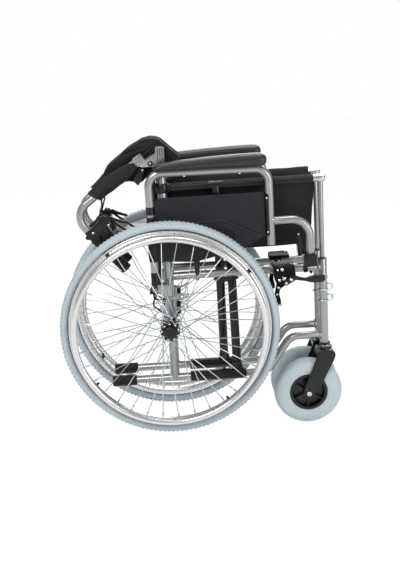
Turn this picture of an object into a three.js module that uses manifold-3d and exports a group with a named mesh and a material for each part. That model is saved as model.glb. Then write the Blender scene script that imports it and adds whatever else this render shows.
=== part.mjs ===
// Folding wheelchair, folded flat between its wheels, with its half-folding back laid down.
// Millimetres, +X forward, +Y to the rider's left, +Z up, origin on the ground under the middle.
import * as THREE from 'three'
import { mergeVertices } from 'three/addons/utils/BufferGeometryUtils.js'
import Module from 'manifold-3d'

const wasm = await Module()
wasm.setup()

// Whole chair. The side frames lean back together about the rear axle.
const tyreRadius = 305
const pitchDegrees = 3.5
const halfSpacing = 48
const wheelOffset = 59
const fitGap = 0.3
const runGap = 0.4
const overrun = 2
const tubeSides = 10
const roundEndPoints = 5
const pitch = THREE.MathUtils.degToRad(pitchDegrees)

// Caster's place. "along" runs forward with the rails, "up" is square to it, both from the rear axle.
const frontUprightAhead = 129
const frontUprightAlong = tyreRadius + frontUprightAhead
const casterRadius = 97.6
const casterTrail = 51
const casterAlong = frontUprightAlong - casterTrail
const casterAxleUp = (casterRadius - tyreRadius - casterAlong * Math.sin(pitch)) / Math.cos(pitch)

// Side frame.
const railRadius = 11
const uprightRadius = 12.5
const rearUprightAlong = 3
const frontUprightTop = 160
const frontUprightAboveCaster = 138.2
const frontUprightBottom = casterAxleUp + frontUprightAboveCaster
const uprightBoreRadius = 8.6
const uprightFloor = 8
const stemHoleDepth = 6
const upperRailUp = 135
const lowerTubeAboveCaster = 65.2
const lowerTubeUp = casterAxleUp + lowerTubeAboveCaster
const lowerTubeRear = -171
const lowerTubeKnee = { behindCaster: 115 }
const lowerTubeRise = { behindCaster: 45, aboveUprightEnd: 29 }
const lowerTubeBend = 45
const rearCap = { length: 68, radius: 15.5, overhang: 6 }

// Seat rails, up in the folded chair.
const foldedSeatUp = 385
const seatRailRadius = 10
const seatRailOverhang = 13
const seatRailFront = frontUprightAlong + seatRailOverhang
const uprightAboveSeat = 61
const rearUprightTop = foldedSeatUp + uprightAboveSeat
const postRadius = 7
const postOverlap = 20
const slider = { wall: 4.5, halfHeight: 13 }
const seatGuide = { rear: 76, length: 17, wall: 3.1, top: 182, under: 3 }

// Cross-brace arms.
const armRadius = 12.5
const rightArmAlong = 182
const leftArmAlong = 149
const lowerSleeveRear = 47
const lowerSleeveLead = 25
const sleeveWall = 4
const armEyeHalfLength = 20
const armEyeWall = 3.2
const crossBolt = { radius: 5, headRadius: 9, headHeight: 5 }
const armCollarRadius = 14.5

// Seat cloth halves.
const seatCloth = { rear: 28, frontGap: 16, thickness: 2.2, height: 178, clear: 3, bow: 1.2 }
const seatClothFolds = { rows: 6, columns: 8, waves: 2 }

// Folding back: hinge casting, cane, grip and hand brake.
const hingePivotRise = 9
const hingePivot = { along: -23, up: rearUprightTop + hingePivotRise }
const hinge = { wall: 2.6, halfWidth: 12.9, rise: 41, front: 17, rear: -7, floor: 3 }
const hingeBeak = [[15, 23], [-7, 12], [-33, -2], [-29, -6]]
const hingePinRadius = 4
const caneRadius = 11
const caneBottomRise = 7
const caneCornerRise = 258
const caneCornerUp = hingePivot.up + caneCornerRise
const caneBend = 47
const caneBendSteps = 6
const caneFoldDegrees = 126
const gripDropDegrees = 4.7
const gripReach = 206
const caneLug = { halfWidth: 12.5, front: 14, rear: -10, bottomRise: 5, topRise: 31, radius: 8.5 }
const grip = { start: 92, radius: 16, endWall: 6 }
const brakeBody = { start: 56, end: 90, above: 18, below: 56, halfWidth: 12.5, taper: 9 }
const handLever = { pivotAlong: 66, pivotBelow: 63, rootRadius: 6.6, halfWidth: 5.5, thickness: 7 }
const handLeverTip = { along: 200, below: 88 }

// Brake cables.
const cableRadius = 2.2
const cableBend = 9
const cableSides = 6
const cableEntry = 48
const cableTurn = { along: -27, rise: 176 }

// Back cloth.
const backCloth = { inner: 47.7, split: 30, outer: 16, pleat: 4, length: 232, height: 140 }
const backSleeve = { wall: 2.4, startRise: 35, endRise: 173 }
const backClothOrigin = { along: -168, drop: 75 }
const backClothWeb = { outer: 12.9, along: -75 }
// Outline of the laid-down back cloth, as shares of its length and height.
const backClothShares = [
  [0.043, 0.014], [0.112, 0.043], [0.22, 0.121], [0.323, 0.186], [0.401, 0.179], [0.483, 0.121],
  [0.565, 0.236], [0.724, 0.457], [0.909, 0.4], [0.966, 0.5], [0.974, 0.579], [0.897, 0.714],
  [0.81, 0.85], [0.75, 0.95], [0.651, 1.0], [0.547, 0.971], [0.41, 0.857], [0.267, 0.693],
  [0.121, 0.5], [0.082, 0.429], [0.034, 0.25], [0.0, 0.114]
]

// Flip-back armrest.
const armrestOffset = 28
const armrestTubeRadius = 11
const armrestPivot = { along: -32, up: 112 }
const armrest = { rearTop: 430, frontAlong: 291.5, frontTop: 426, stubUp: 214, bend: 38, footDrop: 15 }
const armrestBranch = { up: 281, behindUpright: 36, endUp: 157, bend: 50 }
const branchAlong = frontUprightAlong - armrestBranch.behindUpright
const armrestPin = { radius: 5, plateInner: 9.5, plateOuter: 14, eyeRadius: 11 }
const armrestFoot = { halfWidth: 6 }
// Corners measured from the armrest's pivot.
const pivotGusset = [[0, 9], [35, 7], [35, -28], [10, -15]]
const footOutline = [[-10, 45], [17, 43], [15, 11], [8, -14], [-21, -16]]
const pad = { rear: -18, front: 287, halfWidth: 23, halfHeight: 18.5, outward: 12, sink: 4 }
const padSides = 16
const skirt = { inner: 3, outer: 3, top: 362, lower: 210, belly: 179, rearLow: 187 }
const skirtPocket = { top: 299, wall: 2.4 }
const skirtChannel = { low: 242, high: 357 }
const socket = { wall: 3.1, clear: 1.5, backRoom: 3, bottom: 148, top: 183, floor: 6 }
const socketTab = { length: 12, out: 4, low: 125 }
const socketLatch = { thickness: 3, tipAhead: -29, tipUp: 236, rootAhead: -18, rootUp: 178, width: 6 }

// Parking brake.
const brakeLever = { ahead: 36, up: 116, pinRadius: 4, inner: 44, outer: 49, eyeRadius: 10, paddleOut: 56 }
const leverAlong = tyreRadius + brakeLever.ahead
const clamp = { rearward: 46, forward: 11, top: 153.5, bottom: 123.5, blockOut: 38, plateIn: 37, plateOut: 43 }
const clampJaw = { start: 2, end: 33, drop: 7, thickness: 3 }
const brakePaddle = { rear: 44, front: 93, up: 115.5, halfHeight: 10.5, neckHalf: 4 }
// Corners measured from the lever's pivot.
const bracketOutline = [[14, 3], [7, -9], [-7, -12], [-23, -12], [-41, -10], [-47, 5]]
const leverLink = { along: -14, up: -9, half: 6 }
const shoe = { up: 52.5, pinRadius: 4.5, inner: 31, outer: 36.5, armHalf: 6.5, tyreOverlap: 32, tyreGap: 0.5 }
const shoeLink = { rearward: 32, up: 115, kneeRearward: 40, kneeUp: 73, linkRearward: 35, linkUp: 92 }

// Rear wheel, sizes out from its middle plane.
const wheelSegments = 36
const tyre = { halfWidth: 16.5, shoulderHalf: 15, crownHalf: 6, beadHalf: 10 }
const tyreDrop = { bead: 23.7, side: 16, shoulder: 6 }
const beadRadius = tyreRadius - tyreDrop.bead
const rim = { depth: 16.8, flankDepth: 13.3, innerHalf: 6, halfWidth: 11.5 }
const rimInner = beadRadius - rim.depth
const handrim = { drop: 42, tubeRadius: 8.5, offset: 36, sides: 8 }
const handrimLug = { count: 4, firstDegrees: 38, radius: 4, drop: 34 }
const handrimRadius = tyreRadius - handrim.drop
const hub = { bore: 6.6, innerFace: 27.5, flangeRadius: 28, outerFlangeRadius: 26, barrel: 17 }
const hubCap = { radius: 19, rimRadius: 16, face: 38, chamfer: 3 }
const hubFlange = { inner: 26, outer: 26, thickness: 3.4 }
const hubSegments = 20
const spokeCount = 36
const spokeCrossDegrees = 60
const spokeRadius = 1.1
const spokeFaceShare = 0.1
const axleRadius = 6
const drum = { radius: 36, outer: 29, armThickness: 4 }
const drumArm = [[12, 30], [14, 76], [24, 72], [48, 82], [57, 84], [57, 76], [30, 64], [26, 30]]

// Caster.
const casterSegments = 24
const casterTyre = { halfWidth: 25, shoulderHalf: 21, crownHalf: 9, beadHalf: 21 }
const casterTyreRadius = { bead: 54, side: 65, shoulder: 88 }
const casterHub = { bore: 4.6, boss: 14, bossHalf: 20, webHalf: 3, ringInner: 46, ringHalf: 21 }
const casterRib = { count: 6, half: 1.6, out: 17 }
const fork = { legInner: 26.4, legOuter: 32, headRadius: 21, headDrop: 8, headHeight: 29 }
const forkCrown = { half: 22, drop: 6 }
// Leg corners from the swivel axis and the head's top, then from the caster's axle.
const forkShoulder = [[-27, -24], [-19, -7], [25, -6], [28, -17], [21, -37]]
const forkFoot = [[38, 35], [20, -4], [13, -13], [0, -17], [-13, -10], [-16, 5]]
const forkStem = { radius: 5, ringRadius: 9.5 }
const casterAxle = { radius: 4, headRadius: 7, headOut: 36 }

// Materials.
const finish = (color, roughness, metalness) => new THREE.MeshStandardMaterial({ color, roughness, metalness })
const framePaint = finish(0x8f8c84, 0.38, 0.75)
const casting = finish(0xb9bab8, 0.35, 0.8)
const railSilver = finish(0xa9a9a6, 0.3, 0.85)
const satinAlloy = finish(0xd8d6d2, 0.32, 0.85)
const spokeSteel = finish(0xc4c8ca, 0.28, 0.9)
const greyTyre = finish(0x9fb0b8, 0.75, 0)
const blackPlastic = finish(0x1d1c1f, 0.5, 0)
const blackPaint = finish(0x222124, 0.4, 0.3)
const softPad = finish(0x3b3a3c, 0.5, 0)
const cloth = finish(0x2c2b2f, 0.9, 0)
const gripRubber = finish(0x1f1e20, 0.65, 0)

// Closed shapes in and out of the boolean library.
function solidOf(geometry) {
  const bare = geometry.index ? geometry.toNonIndexed() : geometry.clone()
  bare.deleteAttribute('normal')
  bare.deleteAttribute('uv')
  const merged = mergeVertices(bare, 1e-4)
  return new wasm.Manifold(new wasm.Mesh({
    numProp: 3,
    vertProperties: new Float32Array(merged.attributes.position.array),
    triVerts: new Uint32Array(merged.index.array)
  }))
}

function geometryOf(solid) {
  const mesh = solid.getMesh()
  const geometry = new THREE.BufferGeometry()
  geometry.setAttribute('position', new THREE.BufferAttribute(new Float32Array(mesh.vertProperties), 3))
  geometry.setIndex(new THREE.BufferAttribute(new Uint32Array(mesh.triVerts), 1))
  return geometry
}

function join(...shapes) {
  return geometryOf(shapes.map(solidOf).reduce((all, next) => all.add(next)))
}

function cut(body, ...tools) {
  return geometryOf(tools.map(solidOf).reduce((all, next) => all.subtract(next), solidOf(body)))
}

// Turns a closed mesh right side out when its faces point inward.
function facingOut(geometry) {
  const flat = geometry.index ? geometry.toNonIndexed() : geometry
  const p = flat.attributes.position
  const a = new THREE.Vector3()
  const b = new THREE.Vector3()
  const c = new THREE.Vector3()
  let volume = 0
  for (let i = 0; i < p.count; i += 3) {
    a.fromBufferAttribute(p, i)
    b.fromBufferAttribute(p, i + 1)
    c.fromBufferAttribute(p, i + 2)
    volume += a.dot(b.cross(c))
  }
  return volume < 0 ? flipped(geometry) : geometry
}

function flipped(geometry) {
  const flat = geometry.index ? geometry.toNonIndexed() : geometry.clone()
  const p = flat.attributes.position
  const held = new THREE.Vector3()
  const other = new THREE.Vector3()
  for (let i = 0; i < p.count; i += 3) {
    held.fromBufferAttribute(p, i + 1)
    other.fromBufferAttribute(p, i + 2)
    p.setXYZ(i + 1, other.x, other.y, other.z)
    p.setXYZ(i + 2, held.x, held.y, held.z)
  }
  return flat
}

// Radius of a polygon that clears a round of the given radius.
const around = (radius, sides) => radius / Math.cos(Math.PI / sides)

function polygon(radius, sides) {
  const points = []
  for (let i = 0; i < sides; i += 1) {
    const angle = 2 * Math.PI * (i + 0.5) / sides
    points.push(new THREE.Vector2(radius * Math.cos(angle), radius * Math.sin(angle)))
  }
  return points
}

// A centre line of straight runs joined by arcs, with stations only where it bends.
class BentLine extends THREE.Curve {
  constructor(corners, bend, bendSteps) {
    super()
    this.stations = [corners[0]]
    for (let i = 1; i < corners.length - 1; i += 1) {
      this.addArc(corners[i - 1], corners[i], corners[i + 1], bend, bendSteps)
    }
    this.stations.push(corners[corners.length - 1])
  }

  addArc(before, corner, after, bend, bendSteps) {
    const back = before.clone().sub(corner)
    const ahead = after.clone().sub(corner)
    const half = back.angleTo(ahead) / 2
    const room = Math.min(back.length(), ahead.length()) * 0.49
    const reach = Math.min(bend / Math.tan(half), room)
    const radius = reach * Math.tan(half)
    const axis = back.clone().normalize().add(ahead.clone().normalize()).normalize()
    const centre = corner.clone().addScaledVector(axis, radius / Math.sin(half))
    const start = corner.clone().addScaledVector(back.normalize(), reach).sub(centre)
    const end = corner.clone().addScaledVector(ahead.normalize(), reach).sub(centre)
    const sweep = start.angleTo(end)
    for (let i = 0; i <= bendSteps; i += 1) {
      const turn = sweep * i / bendSteps
      const arm = start.clone().multiplyScalar(Math.sin(sweep - turn) / Math.sin(sweep))
      arm.addScaledVector(end, Math.sin(turn) / Math.sin(sweep))
      this.stations.push(centre.clone().add(arm))
    }
  }

  getPoint(t, target = new THREE.Vector3()) {
    const place = t * (this.stations.length - 1)
    const before = Math.min(Math.floor(place), this.stations.length - 2)
    return target.lerpVectors(this.stations[before], this.stations[before + 1], place - before)
  }

  getPointAt(u, target) {
    return this.getPoint(u, target)
  }

  getTangent(t, target = new THREE.Vector3()) {
    const last = this.stations.length - 1
    const place = Math.round(t * last)
    const here = this.stations[place]
    const back = here.clone().sub(this.stations[Math.max(place - 1, 0)]).normalize()
    const ahead = this.stations[Math.min(place + 1, last)].clone().sub(here).normalize()
    return target.copy(back).add(ahead).normalize()
  }

  getTangentAt(u, target) {
    return this.getTangent(u, target)
  }
}

function tube(corners, radius, bend, sides = tubeSides, bendSteps = 4) {
  const line = new BentLine(corners, bend, bendSteps)
  const shape = new THREE.Shape(polygon(radius, sides))
  const steps = line.stations.length - 1
  return facingOut(new THREE.ExtrudeGeometry(shape, { steps, extrudePath: line, bevelEnabled: false }))
}

// A point of a side: along the rails, out from the frame plane, up.
const at = (along, up, out = 0) => new THREE.Vector3(along, out, up)

function rod(from, to, radius, sides = tubeSides) {
  return tube([from, to], radius, radius, sides)
}

function block(alongFrom, alongTo, outFrom, outTo, upFrom, upTo) {
  const geometry = new THREE.BoxGeometry(alongTo - alongFrom, outTo - outFrom, upTo - upFrom)
  return geometry.translate((alongFrom + alongTo) / 2, (outFrom + outTo) / 2, (upFrom + upTo) / 2)
}

// A flat plate whose outline is drawn in the side's plane.
function plate(outline, outFrom, outTo) {
  const shape = new THREE.Shape(outline.map(([along, up]) => new THREE.Vector2(along, up)))
  const geometry = new THREE.ExtrudeGeometry(shape, { depth: outTo - outFrom, bevelEnabled: false })
  geometry.rotateX(Math.PI / 2)
  return facingOut(geometry.translate(0, outTo, 0))
}

// A straight bar with round ends, drawn as a plate outline.
function linkOutline(from, to, radius, endPoints = roundEndPoints) {
  const heading = Math.atan2(to[1] - from[1], to[0] - from[0])
  const outline = []
  for (const [centre, first] of [[to, heading - Math.PI / 2], [from, heading + Math.PI / 2]]) {
    for (let i = 0; i < endPoints; i += 1) {
      const angle = first + Math.PI * i / (endPoints - 1)
      outline.push([centre[0] + radius * Math.cos(angle), centre[1] + radius * Math.sin(angle)])
    }
  }
  return outline
}

// A ring or disc turned about the wheel axis from a closed profile of [radius, out].
function turned(profile, segments) {
  const points = [...profile, profile[0]].map(([radius, out]) => new THREE.Vector2(radius, out))
  const geometry = new THREE.LatheGeometry(points, segments)
  return facingOut(geometry.rotateY(Math.PI / segments))
}

// A closed skin over loops of equal length, with flat ends.
function loft(loops) {
  const count = loops[0].length
  const places = loops.flat()
  const faces = []
  for (let i = 0; i < loops.length - 1; i += 1) {
    for (let j = 0; j < count; j += 1) {
      const next = (j + 1) % count
      const low = i * count
      const high = low + count
      faces.push(low + j, low + next, high + next, low + j, high + next, high + j)
    }
  }
  const last = (loops.length - 1) * count
  for (const [first, end] of [[0, 0], [last, 1]]) {
    const loop = loops[end === 0 ? 0 : loops.length - 1]
    for (const [a, b, c] of THREE.ShapeUtils.triangulateShape(flattened(loop), [])) {
      faces.push(first + a, first + (end ? b : c), first + (end ? c : b))
    }
  }
  const geometry = new THREE.BufferGeometry().setFromPoints(places)
  geometry.setIndex(faces)
  return facingOut(geometry.toNonIndexed())
}

// The two axes in which a loop is widest, for filling it.
function flattened(loop) {
  const size = new THREE.Box3().setFromPoints(loop).getSize(new THREE.Vector3())
  const thin = ['x', 'y', 'z'].reduce((least, axis) => (size[axis] < size[least] ? axis : least), 'x')
  const [first, second] = ['x', 'y', 'z'].filter((axis) => axis !== thin)
  return loop.map((point) => new THREE.Vector2(point[first], point[second]))
}

// Corners drawn from a point of the side.
function cornersFrom(along, up, offsets) {
  return offsets.map(([ahead, rise]) => [along + ahead, up + rise])
}

// Side frame: upper rail, both uprights, the lower tube with its rise, and the armrest pivot plate.
function sideFrame() {
  const rearUpright = rod(at(rearUprightAlong, lowerTubeUp), at(rearUprightAlong, rearUprightTop), uprightRadius)
  const upperRail = rod(at(rearUprightAlong, upperRailUp), at(frontUprightAlong, upperRailUp), railRadius)
  const frontUpright = rod(
    at(frontUprightAlong, frontUprightBottom), at(frontUprightAlong, frontUprightTop), uprightRadius)
  const riseUp = frontUprightBottom + lowerTubeRise.aboveUprightEnd
  const lowerTube = tube([
    at(lowerTubeRear, lowerTubeUp), at(casterAlong - lowerTubeKnee.behindCaster, lowerTubeUp),
    at(casterAlong - lowerTubeRise.behindCaster, riseUp), at(frontUprightAlong, riseUp)
  ], railRadius, lowerTubeBend)
  const pivot = [armrestPivot.along, armrestPivot.up]
  const pivotPlate = plate(
    linkOutline(pivot, [rearUprightAlong, armrestPivot.up], armrestPin.eyeRadius),
    armrestPin.plateInner, armrestPin.plateOuter)
  const gusset = plate(cornersFrom(...pivot, pivotGusset), armrestPin.plateInner, armrestPin.plateOuter)
  const pin = rod(
    at(...pivot, armrestPin.plateInner),
    at(...pivot, armrestOffset + armrestTubeRadius + fitGap), armrestPin.radius, 8)
  const postBore = rod(
    at(frontUprightAlong, frontUprightBottom + uprightFloor),
    at(frontUprightAlong, frontUprightTop + overrun), uprightBoreRadius)
  const stemHole = rod(
    at(frontUprightAlong, frontUprightBottom - overrun),
    at(frontUprightAlong, frontUprightBottom + stemHoleDepth), around(forkStem.radius + runGap, 8), 8)
  return cut(join(rearUpright, upperRail, frontUpright, lowerTube, pivotPlate, gusset, pin), postBore, stemHole)
}

function rearTip() {
  const rear = lowerTubeRear - rearCap.overhang
  const body = rod(at(rear, lowerTubeUp), at(rear + rearCap.length, lowerTubeUp), rearCap.radius, 8)
  const bore = rod(
    at(lowerTubeRear - fitGap, lowerTubeUp), at(rear + rearCap.length + overrun, lowerTubeUp),
    around(railRadius + fitGap, tubeSides))
  return cut(body, bore)
}

// Clip on the upper rail with a fork that takes the seat rail when the chair is open.
function railGuide() {
  const inside = railRadius + fitGap
  const outside = inside + seatGuide.wall
  const front = seatGuide.rear + seatGuide.length
  const body = block(
    seatGuide.rear, front, -outside, outside, upperRailUp - inside - seatGuide.under, seatGuide.top)
  const slot = block(
    seatGuide.rear - overrun, front + overrun, -inside, inside, upperRailUp, seatGuide.top + overrun)
  const bore = rod(
    at(seatGuide.rear - overrun, upperRailUp), at(front + overrun, upperRailUp), around(inside, tubeSides))
  return cut(body, slot, bore)
}

// Seat rail with its front post and the slider on the rear upright.
function seatRail() {
  const sliderInner = uprightRadius + runGap
  const sliderOuter = around(sliderInner, tubeSides) + slider.wall
  const rail = rod(
    at(rearUprightAlong + sliderInner, foldedSeatUp), at(seatRailFront, foldedSeatUp), seatRailRadius)
  const post = rod(
    at(frontUprightAlong, frontUprightTop - postOverlap), at(frontUprightAlong, foldedSeatUp), postRadius, 10)
  const low = foldedSeatUp - slider.halfHeight
  const high = foldedSeatUp + slider.halfHeight
  const ring = rod(at(rearUprightAlong, low), at(rearUprightAlong, high), sliderOuter)
  const bore = rod(
    at(rearUprightAlong, low - overrun), at(rearUprightAlong, high + overrun), around(sliderInner, tubeSides))
  return cut(join(rail, post, ring), bore)
}

// Cross-brace arm: a sleeve on its own lower tube, an eye on the other side's seat rail.
// Drawn with "out" measured from the chair's middle plane towards the arm's own side.
function crossArm(armAlong) {
  const low = at(armAlong, lowerTubeUp, halfSpacing)
  const high = at(armAlong, foldedSeatUp, -halfSpacing)
  const sleeveFront = armAlong + lowerSleeveLead
  const sleeveRear = lowerSleeveRear
  const sleeveInner = around(railRadius + runGap, tubeSides)
  const eyeInner = around(seatRailRadius + runGap, tubeSides)
  const arm = rod(low, high, armRadius)
  const sleeve = rod(
    at(sleeveRear, lowerTubeUp, halfSpacing), at(sleeveFront, lowerTubeUp, halfSpacing), sleeveInner + sleeveWall)
  const eye = rod(
    at(armAlong - armEyeHalfLength, foldedSeatUp, -halfSpacing),
    at(armAlong + armEyeHalfLength, foldedSeatUp, -halfSpacing), eyeInner + armEyeWall)
  const middleUp = (lowerTubeUp + foldedSeatUp) / 2
  const between = (rightArmAlong + leftArmAlong) / 2
  const towards = Math.sign(between - armAlong)
  const collarEnd = between - towards * runGap / 2
  const collar = rod(at(armAlong, middleUp), at(collarEnd, middleUp), armCollarRadius)
  const outerSide = armAlong - towards * (armRadius + overrun)
  const boltHole = rod(
    at(outerSide, middleUp), at(collarEnd + towards * overrun, middleUp),
    around(crossBolt.radius + runGap, tubeSides))
  const tubeHole = rod(
    at(sleeveRear - overrun, lowerTubeUp, halfSpacing),
    at(sleeveFront + overrun, lowerTubeUp, halfSpacing), sleeveInner)
  const railHole = rod(
    at(armAlong - armEyeHalfLength - overrun, foldedSeatUp, -halfSpacing),
    at(armAlong + armEyeHalfLength + overrun, foldedSeatUp, -halfSpacing), eyeInner)
  const whole = join(arm, sleeve, eye, collar)
  if (armAlong === rightArmAlong) {
    return cut(join(whole, crossBoltShape()), tubeHole, railHole)
  }
  return cut(whole, boltHole, tubeHole, railHole)
}

// Pivot bolt through both arms, held by the right one.
function crossBoltShape() {
  const middleUp = (lowerTubeUp + foldedSeatUp) / 2
  const rear = leftArmAlong - armRadius - runGap
  const front = rightArmAlong + armRadius - runGap
  const shank = rod(at(rear, middleUp), at(front, middleUp), crossBolt.radius)
  const head = rod(at(front, middleUp), at(front + crossBolt.headHeight, middleUp), crossBolt.headRadius, 6)
  const nut = rod(at(rear - crossBolt.headHeight, middleUp), at(rear, middleUp), crossBolt.headRadius, 6)
  return join(shank, head, nut)
}

// Half of the hanging seat cloth, beside the arm that leans to the same rail.
// Its top edge turns up against the rail and is cut away round the arm's eye.
// Drawn with "out" measured from the chair's middle plane.
function seatClothHalf(armAlong) {
  const slope = halfSpacing / ((foldedSeatUp - lowerTubeUp) / 2)
  const middleUp = (lowerTubeUp + foldedSeatUp) / 2
  const shift = (armRadius + seatCloth.clear) / Math.cos(Math.atan(slope))
  const half = seatCloth.thickness / 2
  const { rows, columns, waves } = seatClothFolds
  const front = frontUprightAlong - seatCloth.frontGap
  const seamOut = halfSpacing - seatRailRadius - fitGap - half
  const lowUp = foldedSeatUp - seatCloth.height
  const highUp = foldedSeatUp - 2 * seatRailRadius
  const loops = []
  for (let i = 0; i <= columns; i += 1) {
    const along = seatCloth.rear + (front - seatCloth.rear) * i / columns
    const wave = seatCloth.bow * (Math.cos(2 * Math.PI * waves * i / columns) - 1) / 2
    const inner = []
    const outer = []
    for (let j = 0; j <= rows; j += 1) {
      const up = lowUp + (highUp - lowUp) * j / rows
      const out = (up - middleUp) * slope - shift + wave * Math.sin(Math.PI * j / rows)
      inner.push(at(along, up, out - half))
      outer.push(at(along, up, out + half))
    }
    inner.push(at(along, foldedSeatUp, seamOut - half))
    outer.push(at(along, foldedSeatUp, seamOut + half))
    loops.push([...outer, ...inner.reverse()])
  }
  const eyeOuter = around(seatRailRadius + runGap, tubeSides) + armEyeWall
  const eyeRoom = rod(
    at(armAlong - armEyeHalfLength - runGap, foldedSeatUp, halfSpacing),
    at(armAlong + armEyeHalfLength + runGap, foldedSeatUp, halfSpacing), around(eyeOuter + runGap, tubeSides))
  const armRoom = rod(
    at(armAlong, lowerTubeUp, -halfSpacing), at(armAlong, foldedSeatUp, halfSpacing),
    around(armRadius + runGap, tubeSides))
  return cut(loft(loops), eyeRoom, armRoom)
}

// Lower half of the back hinge: a casting on the rear upright, open to the rear between two beaked cheeks.
function hingeCasting() {
  const inside = hinge.halfWidth
  const outside = inside + hinge.wall
  const bottom = rearUprightTop + fitGap
  const top = hingePivot.up + hinge.rise
  const beak = cornersFrom(hingePivot.along, hingePivot.up, hingeBeak)
  const tip = beak[beak.length - 1]
  const cheek = [
    [hinge.front, bottom], [hinge.front, top], [hinge.rear, top], ...beak, [tip[0] + hinge.wall * 2, bottom]
  ]
  const cheeks = [[-outside, -inside], [inside, outside]].map(([from, to]) => plate(cheek, from, to))
  const frontWall = block(hinge.front - hinge.wall, hinge.front, -outside, outside, bottom, top)
  const floor = block(hinge.rear, hinge.front, -outside, outside, bottom, bottom + hinge.floor)
  const bore = rod(
    at(hingePivot.along, hingePivot.up, -outside - overrun), at(hingePivot.along, hingePivot.up, outside + overrun),
    around(hingePinRadius + runGap, tubeSides))
  return cut(join(...cheeks, frontWall, floor), bore)
}

// Lays a piece that is drawn on the raised cane down with it.
function laidDown(geometry) {
  geometry.translate(-hingePivot.along, 0, -hingePivot.up)
  geometry.rotateY(-THREE.MathUtils.degToRad(caneFoldDegrees))
  return geometry.translate(hingePivot.along, 0, hingePivot.up)
}

// The grip's own axes: x along the grip from the corner, z below it.
function onGrip(geometry) {
  const turn = Math.PI + THREE.MathUtils.degToRad(gripDropDegrees)
  return geometry.rotateY(-turn).translate(rearUprightAlong, 0, caneCornerUp)
}

function gripPoint(along, below, out = 0) {
  const turn = Math.PI + THREE.MathUtils.degToRad(gripDropDegrees)
  return at(
    rearUprightAlong + along * Math.cos(turn) - below * Math.sin(turn),
    caneCornerUp + along * Math.sin(turn) + below * Math.cos(turn), out)
}

// Cane drawn raised; its group lays it down. The lug and pin turn in the hinge casting.
function cane() {
  const bar = tube([
    at(rearUprightAlong, hingePivot.up + caneBottomRise), at(rearUprightAlong, caneCornerUp),
    gripPoint(gripReach, 0)
  ], caneRadius, caneBend, tubeSides, caneBendSteps)
  const lugBottom = hingePivot.up + caneLug.bottomRise
  const lugTop = hingePivot.up + caneLug.topRise
  const body = block(caneLug.rear, caneLug.front, -caneLug.halfWidth, caneLug.halfWidth, lugBottom, lugTop)
  const web = plate([
    [hingePivot.along, hingePivot.up - caneLug.radius], [caneLug.rear + overrun, lugBottom],
    [caneLug.rear + overrun, lugTop], [hingePivot.along, hingePivot.up + caneLug.radius]
  ], -caneLug.halfWidth, caneLug.halfWidth)
  const eye = rod(
    at(hingePivot.along, hingePivot.up, -caneLug.halfWidth),
    at(hingePivot.along, hingePivot.up, caneLug.halfWidth), caneLug.radius)
  const pinEnd = hinge.halfWidth + hinge.wall
  const pin = rod(
    at(hingePivot.along, hingePivot.up, -pinEnd), at(hingePivot.along, hingePivot.up, pinEnd), hingePinRadius)
  return join(bar, body, web, eye, pin)
}

// Rubber grip and the hand brake's body, both clamped on the cane's end.
function pushGrip() {
  const rubber = rod(at(grip.start, 0), at(gripReach + grip.endWall, 0), grip.radius)
  const body = plate([
    [brakeBody.start, -brakeBody.above], [brakeBody.end, -brakeBody.above],
    [grip.start + overrun, -brakeBody.above + brakeBody.taper], [grip.start + overrun, brakeBody.taper],
    [brakeBody.end, grip.radius], [brakeBody.end, brakeBody.below],
    [brakeBody.start + brakeBody.taper, brakeBody.below], [brakeBody.start, brakeBody.below - brakeBody.taper]
  ], -brakeBody.halfWidth, brakeBody.halfWidth)
  const bore = rod(
    at(0, 0), at(gripReach + fitGap, 0), around(caneRadius + fitGap, tubeSides))
  return onGrip(cut(join(rubber, body), bore))
}

function handBrakeLever() {
  const pivot = [handLever.pivotAlong, handLever.pivotBelow]
  const bar = plate(
    linkOutline(pivot, [handLeverTip.along, handLeverTip.below], handLever.thickness / 2),
    -handLever.halfWidth, handLever.halfWidth)
  const root = rod(
    at(...pivot, -handLever.halfWidth), at(...pivot, handLever.halfWidth), handLever.rootRadius, 10)
  return onGrip(join(bar, root))
}

// How far behind the cane's middle the upper cable runs, inside the back cloth's sleeve.
const cableAlong = rearUprightAlong - caneRadius - runGap - cableRadius

// Cable from the hand brake into the sleeve and down the cane, drawn with the cane raised.
function upperCable() {
  return tube([
    gripPoint(brakeBody.start - fitGap, cableEntry), at(cableTurn.along, hingePivot.up + cableTurn.rise),
    at(cableAlong, hingePivot.up + backSleeve.endRise - cableBend),
    at(cableAlong, hingePivot.up + caneLug.topRise + overrun)
  ], cableRadius, cableBend, cableSides, 2)
}

// Cable down the rear upright and round to the drum brake.
function lowerCable() {
  const behind = rearUprightAlong - uprightRadius - slider.wall - cableRadius * 2
  const drumMiddle = (uprightRadius + drum.outer) / 2
  return tube([
    at(behind, hingePivot.up - caneLug.radius - runGap),
    at(behind, armrestPivot.up + 2 * cableBend),
    at(armrestPivot.along - cableBend, armrestPivot.up - 3 * cableBend, cableRadius),
    at(armrestPivot.along - cableBend, armrestPivot.up / 2, cableBend),
    at(-drum.radius / 2, drum.radius, drumMiddle),
    at(-drum.radius / 2, Math.sqrt(0.75) * drum.radius + 2 * fitGap, drumMiddle)
  ], cableRadius, cableBend, cableSides, 2)
}

const backClothLow = hingePivot.up - backClothOrigin.drop

function backClothOutline() {
  return backClothShares.map(([along, up]) => [
    backClothOrigin.along + backCloth.length * along, backClothLow + backCloth.height * up])
}

// A band of the back cloth between two planes, pleated along its length.
function backClothBand(outFrom, outTo, pleats) {
  const loops = []
  for (let i = 0; i <= pleats; i += 1) {
    const out = outFrom + (outTo - outFrom) * i / pleats
    const drop = i % 2 === 0 ? 0 : backCloth.pleat
    loops.push(backClothOutline().map(([along, up]) => at(
      along, up - drop * (up - backClothLow) / backCloth.height, out)))
  }
  return loft(loops)
}

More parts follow.
